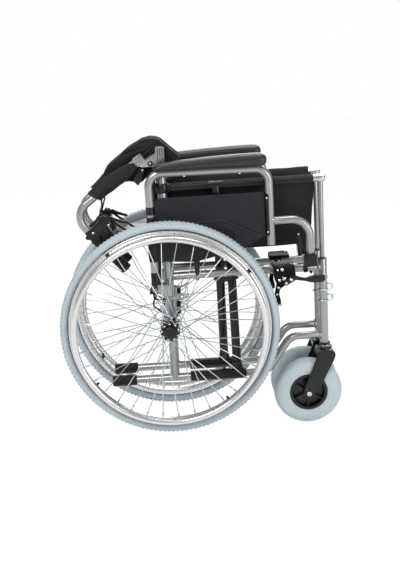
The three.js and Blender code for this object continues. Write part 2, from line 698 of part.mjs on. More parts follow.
// Outer band of the back cloth, joined behind the hinge to its sleeve round the cane and the cable.
function backClothOuter() {
  const low = hingePivot.up + backSleeve.startRise
  const high = hingePivot.up + backSleeve.endRise
  const inner = around(caneRadius + fitGap, tubeSides)
  const cableRoom = around(cableRadius + runGap, tubeSides)
  const sleeve = laidDown(join(
    rod(at(rearUprightAlong, low), at(rearUprightAlong, high), inner + backSleeve.wall),
    rod(at(cableAlong, low), at(cableAlong, high - 2 * cableBend), cableRoom + backSleeve.wall)))
  const bore = laidDown(join(
    rod(at(rearUprightAlong, low - overrun), at(rearUprightAlong, high + overrun), inner),
    rod(at(cableAlong, low - overrun), at(cableAlong, high + overrun), cableRoom)))
  const web = plate(
    backClothOutline().filter(([along]) => along < backClothWeb.along),
    -backCloth.outer - runGap, -backClothWeb.outer)
  return cut(join(backClothBand(-backCloth.split + fitGap, -backCloth.outer, 2), web, sleeve), bore)
}

// Armrest tube with its front branch and its foot, and the hole for the flip-back pin.
function armrestFrame() {
  const o = armrestOffset
  const main = tube([
    at(armrestPivot.along, armrestPivot.up - armrest.footDrop, o), at(armrestPivot.along, armrest.rearTop, o),
    at(armrest.frontAlong, armrest.frontTop, o), at(armrest.frontAlong, armrest.stubUp, o)
  ], armrestTubeRadius, armrest.bend)
  const branch = tube([
    at(armrest.frontAlong, armrestBranch.up, o), at(branchAlong, armrestBranch.up, o),
    at(branchAlong, armrestBranch.endUp, o)
  ], armrestTubeRadius, armrestBranch.bend)
  const foot = plate(
    cornersFrom(armrestPivot.along, armrestPivot.up, footOutline),
    o - armrestFoot.halfWidth, o + armrestFoot.halfWidth)
  const hole = rod(
    at(armrestPivot.along, armrestPivot.up, o - 2 * armrestTubeRadius),
    at(armrestPivot.along, armrestPivot.up, o + 2 * armrestTubeRadius), around(armrestPin.radius + runGap, 8), 8)
  return cut(join(main, branch, foot), hole)
}

// Height of the armrest tube's top run above any point along it.
function topRunUp(along) {
  const share = (along - armrestPivot.along) / (armrest.frontAlong - armrestPivot.along)
  return armrest.rearTop + (armrest.frontTop - armrest.rearTop) * share
}

// A rounded cushion, drawn in towards both ends and hollowed over the armrest tube.
function armrestPad() {
  const endShares = [0, 0.02, 0.07, 0.16, 0.5, 0.82, 0.92, 0.975, 1]
  const loops = endShares.map((share) => {
    const along = pad.rear + (pad.front - pad.rear) * share
    const fromMiddle = Math.abs(2 * share - 1)
    const full = Math.pow(Math.max(1 - Math.pow(fromMiddle, 10), 0.04), 0.5)
    const middleUp = topRunUp(along) + armrestTubeRadius - pad.sink + pad.halfHeight
    const loop = []
    for (let i = 0; i < padSides; i += 1) {
      const angle = 2 * Math.PI * i / padSides
      const side = Math.sign(Math.cos(angle)) * Math.pow(Math.abs(Math.cos(angle)), 0.7)
      const rise = Math.sign(Math.sin(angle)) * Math.pow(Math.abs(Math.sin(angle)), 0.7)
      loop.push(at(
        along, middleUp + rise * pad.halfHeight * full,
        armrestOffset + pad.outward + side * pad.halfWidth * full))
    }
    return loop
  })
  const tubeRoom = rod(
    at(armrestPivot.along, topRunUp(armrestPivot.along), armrestOffset),
    at(armrest.frontAlong, armrest.frontTop, armrestOffset), around(armrestTubeRadius + fitGap, tubeSides))
  return cut(loft(loops), tubeRoom)
}

// Skirt guard between the armrest's legs, with its pocket round the rear leg and its channel on the front one.
function skirtGuard() {
  const inner = around(armrestTubeRadius + fitGap, tubeSides)
  const rearEdge = armrestPivot.along + inner
  const front = armrest.frontAlong - inner - fitGap
  const panel = plate([
    [rearEdge, skirt.top], [front, skirt.top], [front, skirtChannel.low],
    [front - 5 * armrestTubeRadius, skirt.lower],
    [armrestPivot.along + 10 * armrestTubeRadius, skirt.belly], [armrestPivot.along, skirt.rearLow],
    [armrestPivot.along, skirtPocket.top], [rearEdge, skirtPocket.top]
  ], armrestOffset - skirt.inner, armrestOffset + skirt.outer)
  const channelWhole = rod(
    at(armrest.frontAlong, skirtChannel.low, armrestOffset),
    at(armrest.frontAlong, skirtChannel.high, armrestOffset), inner + skirtPocket.wall)
  const openSide = block(
    armrest.frontAlong - overrun, armrest.frontAlong + 2 * inner, -armrestOffset, 3 * armrestOffset,
    skirtChannel.low - overrun, skirtChannel.high + overrun)
  const channelBore = rod(
    at(armrest.frontAlong, skirtChannel.low - overrun, armrestOffset),
    at(armrest.frontAlong, skirtChannel.high + overrun, armrestOffset), inner)
  const pocket = rod(
    at(armrestPivot.along, skirt.rearLow, armrestOffset), at(armrestPivot.along, skirtPocket.top, armrestOffset),
    inner + skirtPocket.wall)
  const bore = rod(
    at(armrestPivot.along, skirt.rearLow - overrun, armrestOffset),
    at(armrestPivot.along, skirtPocket.top + overrun, armrestOffset), inner)
  const gripSide = block(
    armrestPivot.along - 2 * inner, armrest.frontAlong + 2 * inner, -armrestOffset, grip.radius + runGap,
    skirt.rearLow - overrun, skirtChannel.high + overrun)
  return cut(join(panel, pocket, cut(channelWhole, openSide)), bore, gripSide, channelBore)
}

// Socket beside the upper rail that takes the armrest's branch, with its clamping tab and release latch.
// Its mouth is longer to the rear, because the branch swings out of it backwards.
function armrestSocket() {
  const hollow = armrestTubeRadius + socket.clear
  const rear = branchAlong - hollow - socket.backRoom
  const front = branchAlong + hollow
  const nearFace = railRadius + fitGap
  const body = block(
    rear - socket.wall, front + socket.wall, nearFace, armrestOffset + hollow + socket.wall,
    socket.bottom, socket.top)
  const mouth = block(
    rear, front, armrestOffset - hollow, armrestOffset + hollow,
    socket.bottom + socket.floor, socket.top + overrun)
  const tab = block(
    rear - socket.wall, rear - socket.wall + socketTab.length, nearFace, nearFace + socketTab.out,
    socketTab.low, socket.bottom + overrun)
  const latch = plate(
    linkOutline([branchAlong + socketLatch.rootAhead, socketLatch.rootUp],
      [branchAlong + socketLatch.tipAhead, socketLatch.tipUp], socketLatch.width / 2),
    nearFace, nearFace + socketLatch.thickness)
  return cut(join(body, tab, latch), mouth)
}

// Parking brake body: a strap over the upper rail, an outer block beside it, an inner jaw and the bracket.
function brakeClamp() {
  const rear = leverAlong - clamp.rearward
  const front = leverAlong + clamp.forward
  const innerFace = -railRadius - clampJaw.thickness
  const strap = block(rear, front, innerFace, clamp.blockOut, upperRailUp + railRadius - overrun, clamp.top)
  const outerBlock = block(rear, front, 0, clamp.blockOut, clamp.bottom, clamp.top)
  const jaw = block(
    rear + clampJaw.start, rear + clampJaw.end, innerFace, -railRadius, upperRailUp - clampJaw.drop, clamp.top)
  const bracket = plate(
    [[rear, clamp.top], [front, clamp.top], ...cornersFrom(leverAlong, brakeLever.up, bracketOutline)],
    clamp.plateIn, clamp.plateOut)
  const railHole = rod(
    at(rear - overrun, upperRailUp), at(front + overrun, upperRailUp), around(railRadius + fitGap, tubeSides))
  const pinPlaces = [[leverAlong, brakeLever.up], [leverAlong - shoeLink.rearward, shoeLink.up]]
  const pinHoles = pinPlaces.map((place) => rod(
    at(...place, 0), at(...place, clamp.plateOut + overrun), around(brakeLever.pinRadius + runGap, 8), 8))
  return cut(join(strap, outerBlock, jaw, bracket), railHole, ...pinHoles)
}

function parkingLever() {
  const pivot = [leverAlong, brakeLever.up]
  const paddleRear = [leverAlong + brakePaddle.rear + brakePaddle.halfHeight, brakePaddle.up]
  const paddleFront = [leverAlong + brakePaddle.front - brakePaddle.halfHeight, brakePaddle.up]
  const link = [leverAlong + leverLink.along, brakeLever.up + leverLink.up]
  const neck = plate(linkOutline(pivot, paddleRear, brakePaddle.neckHalf), brakeLever.inner, brakeLever.outer)
  const eye = rod(at(...pivot, brakeLever.inner), at(...pivot, brakeLever.outer), brakeLever.eyeRadius)
  const shortArm = plate(linkOutline(pivot, link, leverLink.half), brakeLever.inner, brakeLever.outer)
  const paddle = plate(
    linkOutline(paddleRear, paddleFront, brakePaddle.halfHeight, roundEndPoints + 2),
    brakeLever.inner, brakeLever.paddleOut)
  const pin = rod(
    at(...pivot, shoe.outer + runGap), at(...pivot, brakeLever.outer), brakeLever.pinRadius, 8)
  return join(neck, eye, shortArm, paddle, pin)
}

// Shoe arm from its pivot down to a roller that stands just ahead of the tyre.
function brakeShoe() {
  const reach = tyreRadius + shoe.pinRadius + shoe.tyreGap
  const rollerAlong = Math.sqrt(reach * reach - shoe.up * shoe.up)
  const pivot = [leverAlong - shoeLink.rearward, shoeLink.up]
  const knee = [leverAlong - shoeLink.kneeRearward, shoeLink.kneeUp]
  const toggle = [leverAlong - shoeLink.linkRearward, shoeLink.linkUp]
  const toggleEnd = [leverAlong + leverLink.along, brakeLever.up + leverLink.up]
  const bars = [[pivot, knee], [knee, [rollerAlong, shoe.up]], [toggle, toggleEnd]].map(
    ([from, to]) => plate(linkOutline(from, to, shoe.armHalf), shoe.inner, shoe.outer))
  const roller = rod(
    at(rollerAlong, shoe.up, shoe.inner), at(rollerAlong, shoe.up, shoe.inner + shoe.tyreOverlap + shoe.armHalf),
    shoe.pinRadius, 10)
  const pin = rod(at(...pivot, shoe.inner), at(...pivot, clamp.plateOut + runGap), brakeLever.pinRadius, 8)
  return join(...bars, roller, pin)
}

// Rear wheel pieces, turned about the axle.
function tyreRing() {
  const side = tyreRadius - tyreDrop.side
  const shoulder = tyreRadius - tyreDrop.shoulder
  return turned([
    [beadRadius, -tyre.beadHalf], [side, -tyre.halfWidth], [shoulder, -tyre.shoulderHalf],
    [tyreRadius, -tyre.crownHalf], [tyreRadius, tyre.crownHalf], [shoulder, tyre.shoulderHalf],
    [side, tyre.halfWidth], [beadRadius, tyre.beadHalf]
  ].map(([radius, out]) => [around(radius, wheelSegments), out]), wheelSegments)
}

function wheelRim() {
  const outer = beadRadius - fitGap
  const flank = beadRadius - rim.flankDepth
  return turned([
    [rimInner, -rim.innerHalf], [flank, -rim.halfWidth], [outer, -rim.halfWidth],
    [outer, rim.halfWidth], [flank, rim.halfWidth], [rimInner, rim.innerHalf]
  ].map(([radius, out]) => [around(radius, wheelSegments), out]), wheelSegments)
}

function handRim() {
  const ring = new THREE.TorusGeometry(handrimRadius, handrim.tubeRadius, handrim.sides, wheelSegments)
  ring.rotateX(Math.PI / 2).translate(0, handrim.offset, 0)
  const seatRadius = tyreRadius - handrimLug.drop
  const lugs = []
  for (let i = 0; i < handrimLug.count; i += 1) {
    const angle = THREE.MathUtils.degToRad(handrimLug.firstDegrees) + 2 * Math.PI * i / handrimLug.count
    const seat = at(seatRadius * Math.cos(angle), seatRadius * Math.sin(angle), rim.halfWidth)
    const head = at(handrimRadius * Math.cos(angle), handrimRadius * Math.sin(angle), handrim.offset)
    lugs.push(rod(seat, head, handrimLug.radius, 6))
  }
  const rimFace = rod(at(0, 0, -rim.halfWidth), at(0, 0, rim.halfWidth + fitGap), 2 * tyreRadius)
  return cut(join(facingOut(ring), ...lugs), rimFace)
}

// Hub shell with its spokes, laced three times crossed from two flanges.
function hubAndSpokes() {
  const shell = turned([
    [hub.bore, -hub.innerFace], [hub.flangeRadius, -hub.innerFace],
    [hub.flangeRadius, -hub.innerFace + hubFlange.thickness],
    [hub.barrel, -hubFlange.inner + 2 * hubFlange.thickness],
    [hub.barrel, hubFlange.outer - 2 * hubFlange.thickness],
    [hub.outerFlangeRadius, hubFlange.outer - hubFlange.thickness],
    [hub.outerFlangeRadius, hubFlange.outer], [hub.bore, hubFlange.outer]
  ], hubSegments)
  const spokes = []
  const rimEnd = rimInner - fitGap - spokeRadius / 2
  for (let i = 0; i < spokeCount; i += 1) {
    const rimAngle = 2 * Math.PI * (i + 0.5) / spokeCount
    const flangeSide = i % 2 === 0 ? -1 : 1
    const lean = Math.floor(i / 2) % 2 === 0 ? -1 : 1
    const hubAngle = rimAngle - lean * THREE.MathUtils.degToRad(spokeCrossDegrees)
    const hole = (flangeSide < 0 ? hub.flangeRadius : hub.outerFlangeRadius) - hubFlange.thickness
    const flangeOut = flangeSide < 0 ? -hub.innerFace : hubFlange.outer - hubFlange.thickness
    const face = hubFlange.thickness * (lean < 0 ? spokeFaceShare : 1 - spokeFaceShare)
    const rimOut = flangeSide * spokeRadius * 3 + lean * spokeRadius * 1.5
    spokes.push(rod(
      at(hole * Math.cos(hubAngle), hole * Math.sin(hubAngle), flangeOut + face),
      at(rimEnd * Math.cos(rimAngle), rimEnd * Math.sin(rimAngle), rimOut),
      spokeRadius, 3))
  }
  return join(shell, ...spokes)
}

// Cap on the hub's outer end, round the axle.
function hubEndCap() {
  const inner = hubFlange.outer + fitGap
  return turned([
    [hub.bore, inner], [hubCap.radius, inner], [hubCap.radius, hubCap.face - hubCap.chamfer],
    [hubCap.rimRadius, hubCap.face], [hub.bore, hubCap.face]
  ], hubSegments)
}

// Axle with the drum brake's back plate and the arm that the cable pulls.
function axleAndDrum() {
  const start = uprightRadius + fitGap
  const shaft = rod(at(0, 0, start), at(0, 0, wheelOffset + hubCap.face - runGap), axleRadius)
  const backPlate = rod(at(0, 0, start), at(0, 0, drum.outer), drum.radius, 16)
  const arm = plate(drumArm, start + fitGap, start + fitGap + drum.armThickness)
  return join(shaft, backPlate, arm)
}

// Caster fork with its stem and the wheel's axle bolt.
function casterFork() {
  const axis = frontUprightAlong
  const wheelAlong = casterAlong
  const headTop = frontUprightBottom - fork.headDrop
  const headBottom = headTop - fork.headHeight
  const legOutline = [
    ...cornersFrom(axis, headTop, forkShoulder), ...cornersFrom(wheelAlong, casterAxleUp, forkFoot)
  ]
  const legs = [[-fork.legOuter, -fork.legInner], [fork.legInner, fork.legOuter]].map(
    ([from, to]) => plate(legOutline, from, to))
  const crown = block(
    axis - forkCrown.half, axis + forkCrown.half, -fork.legOuter, fork.legOuter,
    headBottom, headTop - forkCrown.drop)
  const head = rod(at(axis, headBottom), at(axis, headTop), fork.headRadius)
  const ring = rod(at(axis, headBottom), at(axis, frontUprightBottom - fitGap), forkStem.ringRadius)
  const stem = rod(
    at(axis, headBottom), at(axis, frontUprightBottom + stemHoleDepth - fitGap), forkStem.radius, 8)
  const bolt = rod(
    at(wheelAlong, casterAxleUp, -casterAxle.headOut),
    at(wheelAlong, casterAxleUp, casterAxle.headOut), casterAxle.radius, 8)
  const heads = [-1, 1].map((way) => rod(
    at(wheelAlong, casterAxleUp, way * fork.legOuter), at(wheelAlong, casterAxleUp, way * casterAxle.headOut),
    casterAxle.headRadius, 6))
  return join(...legs, crown, head, ring, stem, bolt, ...heads)
}

function casterTyreRing() {
  const grow = around(1, casterSegments)
  return turned([
    [casterTyreRadius.bead * grow, -casterTyre.beadHalf], [casterTyreRadius.side * grow, -casterTyre.halfWidth],
    [casterTyreRadius.shoulder * grow, -casterTyre.shoulderHalf], [casterRadius * grow, -casterTyre.crownHalf],
    [casterRadius * grow, casterTyre.crownHalf], [casterTyreRadius.shoulder * grow, casterTyre.shoulderHalf],
    [casterTyreRadius.side * grow, casterTyre.halfWidth], [casterTyreRadius.bead * grow, casterTyre.beadHalf]
  ], casterSegments)
}

function casterHubWheel() {
  const grow = around(1, casterSegments)
  const outer = (casterTyreRadius.bead - fitGap) * grow
  const disc = turned([
    [casterHub.bore, -casterHub.bossHalf], [casterHub.boss, -casterHub.bossHalf],
    [casterHub.boss, -casterHub.webHalf], [casterHub.ringInner, -casterHub.webHalf],
    [casterHub.ringInner, -casterHub.ringHalf], [outer, -casterHub.ringHalf],
    [outer, casterHub.ringHalf], [casterHub.ringInner, casterHub.ringHalf],
    [casterHub.ringInner, casterHub.webHalf], [casterHub.boss, casterHub.webHalf],
    [casterHub.boss, casterHub.bossHalf], [casterHub.bore, casterHub.bossHalf]
  ], casterSegments)
  const ribs = []
  for (let i = 0; i < casterRib.count; i += 1) {
    const rib = block(
      casterHub.boss - overrun, casterHub.ringInner + overrun, -casterRib.out, casterRib.out,
      -casterRib.half, casterRib.half)
    ribs.push(rib.rotateY(2 * Math.PI * (i + 0.5) / casterRib.count))
  }
  return join(disc, ...ribs)
}

// Groups: the chair stands on the ground, its frame pitched about the rear axle.
const chair = new THREE.Group()
const pitched = new THREE.Group()
const level = new THREE.Group()
pitched.position.set(0, 0, tyreRadius)
pitched.rotation.y = -pitch
level.position.set(0, 0, tyreRadius)
chair.add(pitched, level)

const casterX = casterAlong * Math.cos(pitch) - casterAxleUp * Math.sin(pitch)
const casterZ = casterAlong * Math.sin(pitch) + casterAxleUp * Math.cos(pitch)
chair.position.x = -(casterX + casterRadius - tyreRadius) / 2

// Adds a piece drawn outward to its own side; the right side is its mirror image.
function add(group, side, name, geometry, material) {
  const shape = side < 0 ? flipped(geometry.clone().scale(1, -1, 1)) : geometry
  const mesh = new THREE.Mesh(shape, material)
  mesh.name = name
  group.add(mesh)
  return mesh
}

const sides = [['right', -1, rightArmAlong, leftArmAlong], ['left', 1, leftArmAlong, rightArmAlong]]
for (const [word, side, armAlong, otherArmAlong] of sides) {
  const frameSide = new THREE.Group()
  frameSide.position.y = side * halfSpacing
  pitched.add(frameSide)

  add(frameSide, side, `${word}_side_frame`, sideFrame(), framePaint)
  add(frameSide, side, `${word}_rear_tip`, rearTip(), blackPlastic)
  add(frameSide, side, `${word}_seat_guide`, railGuide(), blackPlastic)
  add(frameSide, side, `${word}_back_hinge`, hingeCasting(), casting)
  add(frameSide, side, `${word}_lower_cable`, lowerCable(), blackPlastic)
  add(frameSide, side, `${word}_axle_and_drum`, axleAndDrum(), casting)
  add(frameSide, side, `${word}_armrest_socket`, armrestSocket(), blackPlastic)
  add(frameSide, side, `${word}_brake_clamp`, brakeClamp(), blackPaint)
  add(frameSide, side, `${word}_brake_lever`, parkingLever(), blackPlastic)
  add(frameSide, side, `${word}_brake_shoe`, brakeShoe(), blackPaint)
  add(frameSide, side, `${word}_armrest_frame`, armrestFrame(), framePaint)
  add(frameSide, side, `${word}_armrest_pad`, armrestPad(), softPad)
  add(frameSide, side, `${word}_skirt_guard`, skirtGuard(), cloth)
  add(frameSide, side, `${word}_seat_rail`, seatRail(), railSilver)
  add(frameSide, side, `${word}_caster_fork`, casterFork(), blackPlastic)

  add(frameSide, side, `${word}_back_cane`, laidDown(cane()), framePaint)
  add(frameSide, side, `${word}_push_grip`, laidDown(pushGrip()), gripRubber)
  add(frameSide, side, `${word}_hand_brake_lever`, laidDown(handBrakeLever()), blackPlastic)
  add(frameSide, side, `${word}_upper_cable`, laidDown(upperCable()), blackPlastic)
  add(frameSide, side, `${word}_back_cloth_outer`, backClothOuter(), cloth)
  add(frameSide, side, `${word}_back_cloth_inner`, backClothBand(-backCloth.inner, -backCloth.split, 3), cloth)

  add(pitched, side, `${word}_cross_arm`, crossArm(armAlong), blackPaint)
  add(pitched, side, `${word}_seat_cloth`, seatClothHalf(otherArmAlong), cloth)

  const wheel = new THREE.Group()
  wheel.position.y = side * (halfSpacing + wheelOffset)
  level.add(wheel)
  add(wheel, side, `${word}_tyre`, tyreRing(), greyTyre)
  add(wheel, side, `${word}_rim`, wheelRim(), satinAlloy)
  add(wheel, side, `${word}_handrim`, handRim(), satinAlloy)
  add(wheel, side, `${word}_hub_and_spokes`, hubAndSpokes(), spokeSteel)
  add(wheel, side, `${word}_hub_cap`, hubEndCap(), blackPlastic)

  const caster = new THREE.Group()
  caster.position.set(casterX, side * halfSpacing, casterZ)
  level.add(caster)
  add(caster, side, `${word}_caster_tyre`, casterTyreRing(), greyTyre)
  add(caster, side, `${word}_caster_hub`, casterHubWheel(), blackPlastic)
}

export default chair
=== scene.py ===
"""A folded wheelchair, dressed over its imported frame: smooth tubes, castings, wheels and cloth."""
import math

import bmesh
import bpy
import numpy as np
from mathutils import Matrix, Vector


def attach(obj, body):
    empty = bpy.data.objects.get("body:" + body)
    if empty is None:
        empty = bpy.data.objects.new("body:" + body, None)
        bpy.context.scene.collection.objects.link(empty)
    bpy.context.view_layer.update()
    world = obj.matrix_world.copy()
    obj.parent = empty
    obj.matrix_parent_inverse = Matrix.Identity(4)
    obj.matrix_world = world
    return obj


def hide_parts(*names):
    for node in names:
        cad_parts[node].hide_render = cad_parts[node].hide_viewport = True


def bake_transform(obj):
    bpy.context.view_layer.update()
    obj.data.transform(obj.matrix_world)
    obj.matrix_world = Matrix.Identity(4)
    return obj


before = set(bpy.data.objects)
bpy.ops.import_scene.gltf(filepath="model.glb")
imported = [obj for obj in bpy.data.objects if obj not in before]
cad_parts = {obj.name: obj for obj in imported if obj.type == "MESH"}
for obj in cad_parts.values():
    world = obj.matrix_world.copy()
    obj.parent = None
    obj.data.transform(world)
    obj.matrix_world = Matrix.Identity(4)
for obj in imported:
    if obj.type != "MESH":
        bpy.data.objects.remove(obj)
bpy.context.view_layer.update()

# Side coordinates, in millimetres: along (forward with the rails), out (away from the side frame's
# plane) and up (square to the rails), all from the rear axle. The frame leans back by the pitch.
PITCH = math.radians(3.5)
AXLE_X = -94.5004
AXLE_Z = 305.0
HALF_SPACING = 48.0
WHEEL_OUT = 59.0
CASTER_RADIUS = 97.6
CASTER_ALONG = 383.0
CASTER_UP = (CASTER_RADIUS - AXLE_Z - CASTER_ALONG * math.sin(PITCH)) / math.cos(PITCH)

# The side frame: its two uprights, its rails, and the radii of its tubes.
REAR_POST = 3.0
REAR_TOP = 446.0
FRONT_POST = 434.0
FRONT_TOP = 160.0
FRONT_FOOT = CASTER_UP + 138.2
UPPER_RAIL = 135.0
LOWER_TUBE = CASTER_UP + 65.2
SEAT_RAIL = 385.0
BRACE_MIDDLE = (SEAT_RAIL + LOWER_TUBE) / 2
BRACE_ALONG = {"right": 182, "left": 149}
UPRIGHT_RADIUS = 12.5
TUBE_RADIUS = 11
CABLE_RADIUS = 2.3

# The armrest stands out from the side frame and turns about a pivot low on its rear leg.
ARM_OUT = 28.0
ARM_REAR = -32.0
ARM_FRONT = 291.5
ARM_PIVOT = 112
ARM_TOP = 430
ARM_DROP = 4
BRANCH_ALONG = 398
BRANCH_UP = 281

# The back: its hinge, the corner of the raised cane, and how far cane and grip are turned.
HINGE = np.array([-23.0, 0.0, 455.0])
HINGE_FLOOR = 446.4
CANE_FOLD = math.radians(126)
CANE_CORNER = np.array([REAR_POST, 0.0, 713.0])
GRIP_DROP = 4.7
GRIP_TURN = math.radians(180 + GRIP_DROP)
SLEEVE_LOW = 488
SLEEVE_HIGH = 632

# The parking brake's pins as (along, up).
LEVER_PIN = (341, 116)
LINK_PIN = (327, 107)
SHOE_PIN = (309, 115)
SHOE_KNEE = (301, 73)
TOGGLE_PIN = (306, 92)
ROLLER = (305.5, 52.5)

SIDES = {"right": -1, "left": 1}
TURN = 2 * math.pi
AHEAD, BACK = (1, 0, 0), (-1, 0, 0)
OUT, UP, DOWN = (0, 1, 0), (0, 0, 1), (0, 0, -1)
SHARP_FROM = 38.0


# Places
def pitched(side, points):
    """Side coordinates to metres in the frame: leaned back about the axle, mirrored on the right side."""
    s, w, t = np.asarray(points, float).T
    x = AXLE_X + s * math.cos(PITCH) - t * math.sin(PITCH)
    z = AXLE_Z + s * math.sin(PITCH) + t * math.cos(PITCH)
    return np.stack([x, side * (HALF_SPACING + w), z], 1) / 1000


def about_axle(side, points):
    """Wheel coordinates (forward, out from the wheel's middle plane, up) moved to the axle, in metres."""
    x, w, z = np.asarray(points, float).T
    return np.stack([AXLE_X + x, side * (HALF_SPACING + WHEEL_OUT + w), AXLE_Z + z], 1) / 1000


def about_caster(side, points):
    """Caster wheel coordinates moved to the caster's axle, in metres."""
    x, w, z = np.asarray(points, float).T
    centre = AXLE_X + CASTER_ALONG * math.cos(PITCH) - CASTER_UP * math.sin(PITCH)
    return np.stack([centre + x, side * (HALF_SPACING + w), CASTER_RADIUS + z], 1) / 1000


def on_cane(side, points):
    """Points drawn on the raised cane, turned down with it about the back hinge."""
    x, w, z = (np.asarray(points, float) - HINGE).T
    c, s = math.cos(CANE_FOLD), math.sin(CANE_FOLD)
    return pitched(side, np.stack([x * c - z * s, w, x * s + z * c], 1) + HINGE)


def on_grip(points):
    """Points measured along the grip from the cane's corner, out and below it, on the raised cane."""
    x, w, z = np.asarray(points, float).T
    c, s = math.cos(GRIP_TURN), math.sin(GRIP_TURN)
    return np.stack([CANE_CORNER[0] + x * c - z * s, w, CANE_CORNER[2] + x * s + z * c], 1)


def on_handle(side, points):
    """Points measured along the grip, turned down with the cane."""
    return on_cane(side, on_grip(points))


def top_run(along):
    """Height of the armrest tube's top run, which drops evenly from its rear bend to its front one."""
    return ARM_TOP - ARM_DROP * (np.asarray(along, float) - ARM_REAR) / (ARM_FRONT - ARM_REAR)


# Curves and grids
def around(sides):
    """Bearings spread evenly round the full turn."""
    return np.arange(sides) * TURN / sides


def squared(wave, power):
    """A sine or cosine raised to a power with its sign kept: below 1 it swells a circle to a soft square."""
    return np.sign(wave) * np.abs(wave) ** power


def bump(value, centre, width):
    """A smooth hump of height 1 about a centre: exp of minus the squared distance in widths."""
    return np.exp(-((value - centre) / width) ** 2)


def arc(centre, radius, start, end, count):
    """Points of a circle round a centre, evenly between two bearings in degrees."""
    angle = np.radians(np.linspace(start, end, count))
    return np.stack([centre[0] + radius * np.cos(angle), centre[1] + radius * np.sin(angle)], 1)


def grid(along, out, up):
    """Points of a surface from its three coordinates, each spread over the whole grid."""
    return np.stack(np.broadcast_arrays(along, out, up), -1)


# Shapes: each is (points, faces), points an array of rows and faces a list of index tuples.
def joined(*shapes):
    """Several shapes as one, each keeping its own points."""
    points, faces, start = [], [], 0
    for p, f in shapes:
        points.append(np.asarray(p, float))
        faces += [tuple(i + start for i in face) for face in f]
        start += len(p)
    return np.concatenate(points), faces


def quads(index, across):
    """Four-sided faces between neighbours of a grid of indices; across closes the second way round."""
    if across:
        index = np.concatenate([index, index[:, :1]], 1)
    corners = np.stack([index[:-1, :-1], index[:-1, 1:], index[1:, 1:], index[1:, :-1]], -1)
    return [tuple(q) for q in corners.reshape(-1, 4).tolist()]


def skin(rings):
    """A surface over an array of rings (stations, points round, 3), with flat ends."""
    rings = np.asarray(rings, float)
    n, m = rings.shape[:2]
    index = np.arange(n * m).reshape(n, m)
    ends = [tuple(index[0][::-1].tolist()), tuple(index[-1].tolist())]
    return rings.reshape(-1, 3), quads(index, True) + ends


def looped(rings):
    """A surface over rings whose last station meets the first, as on a hoop."""
    rings = np.asarray(rings, float)
    n, m = rings.shape[:2]
    index = np.arange(n * m).reshape(n, m)
    return rings.reshape(-1, 3), quads(np.concatenate([index, index[:1]]), True)


def sheet_of(along, out, up, half):
    """A thin closed sheet: a grid set half a thickness out and half in, and the strip round its edges."""
    face, rear = grid(along, out + half, up), grid(along, out - half, up)
    columns, rows = face.shape[:2]
    index = np.arange(columns * rows).reshape(columns, rows)
    front = quads(index, False)
    back = [tuple(i + index.size for i in q[::-1]) for q in front]
    rim = np.concatenate([index[:, 0], index[-1, 1:], index[::-1, -1][1:], index[0, ::-1][1:-1]])
    edge = np.stack([rim, np.roll(rim, -1), np.roll(rim, -1) + index.size, rim + index.size], -1)
    points = np.concatenate([face.reshape(-1, 3), rear.reshape(-1, 3)])
    return points, front + back + [tuple(e) for e in edge.tolist()]


def bent(corners, bend, steps=10):
    """A centre line: straight runs between corners, each inner corner an arc of the bend radius."""
    corners = np.asarray(corners, float)
    line = [corners[0]]
    for before, corner, after in zip(corners[:-2], corners[1:-1], corners[2:]):
        back, ahead = before - corner, after - corner
        lengths = np.linalg.norm(back), np.linalg.norm(ahead)
        back, ahead = back / lengths[0], ahead / lengths[1]
        half = math.acos(np.clip(back @ ahead, -1, 1)) / 2
        # an arc that would pass the middle of a run is drawn tighter
        reach = min(bend / math.tan(half), 0.49 * min(lengths))
        radius = reach * math.tan(half)
        middle = back + ahead
        centre = corner + middle / np.linalg.norm(middle) * radius / math.sin(half)
        start, end = corner + back * reach - centre, corner + ahead * reach - centre
        sweep = math.acos(np.clip(start @ end / radius ** 2, -1, 1))
        turn = np.linspace(0, sweep, steps + 1)[:, None]
        line += list(centre + (start * np.sin(sweep - turn) + end * np.sin(turn)) / math.sin(sweep))
    line.append(corners[-1])
    return np.array(line)


def frames_along(line):
    """A line's tangents and two directions square to them, the first kept nearest to the out axis."""
    steps = np.diff(line, axis=0)
    steps /= np.linalg.norm(steps, axis=1)[:, None]
    tangent = np.concatenate([steps[:1], steps[:-1] + steps[1:], steps[-1:]])
    tangent /= np.linalg.norm(tangent, axis=1)[:, None]
    reference = np.where(np.abs(tangent[:, 1:2]) > 0.9, [[1.0, 0.0, 0.0]], [[0.0, 1.0, 0.0]])
    first = reference - (reference * tangent).sum(1)[:, None] * tangent
    first /= np.linalg.norm(first, axis=1)[:, None]
    return tangent, first, np.cross(tangent, first)


def tube(corners, radius, bend=20.0, sides=28, edge=1.2, steps=10):
    """A round bar: a circle carried along a bent line, its ends rounded off over the edge length."""
    line = bent(corners, bend, steps) if len(corners) > 2 else np.asarray(corners, float)
    tangent, first, second = frames_along(line)
    edge = min(edge, radius * 0.8)
    inset = np.array([0, 0.3, 1.0])[:, None] * edge
    line = np.concatenate([line[0] + tangent[0] * inset, line[1:-1], line[-1] - tangent[-1] * inset[::-1]])
    size = np.full(len(line), float(radius))
    size[[0, -1]] -= edge
    size[[1, -2]] -= edge * 0.3
    first = np.concatenate([first[:1]] * 2 + [first] + [first[-1:]] * 2)
    second = np.concatenate([second[:1]] * 2 + [second] + [second[-1:]] * 2)
    angle = around(sides)
    ring = first[:, None] * np.cos(angle)[None, :, None] + second[:, None] * np.sin(angle)[None, :, None]
    return skin(line[:, None] + ring * size[:, None, None])


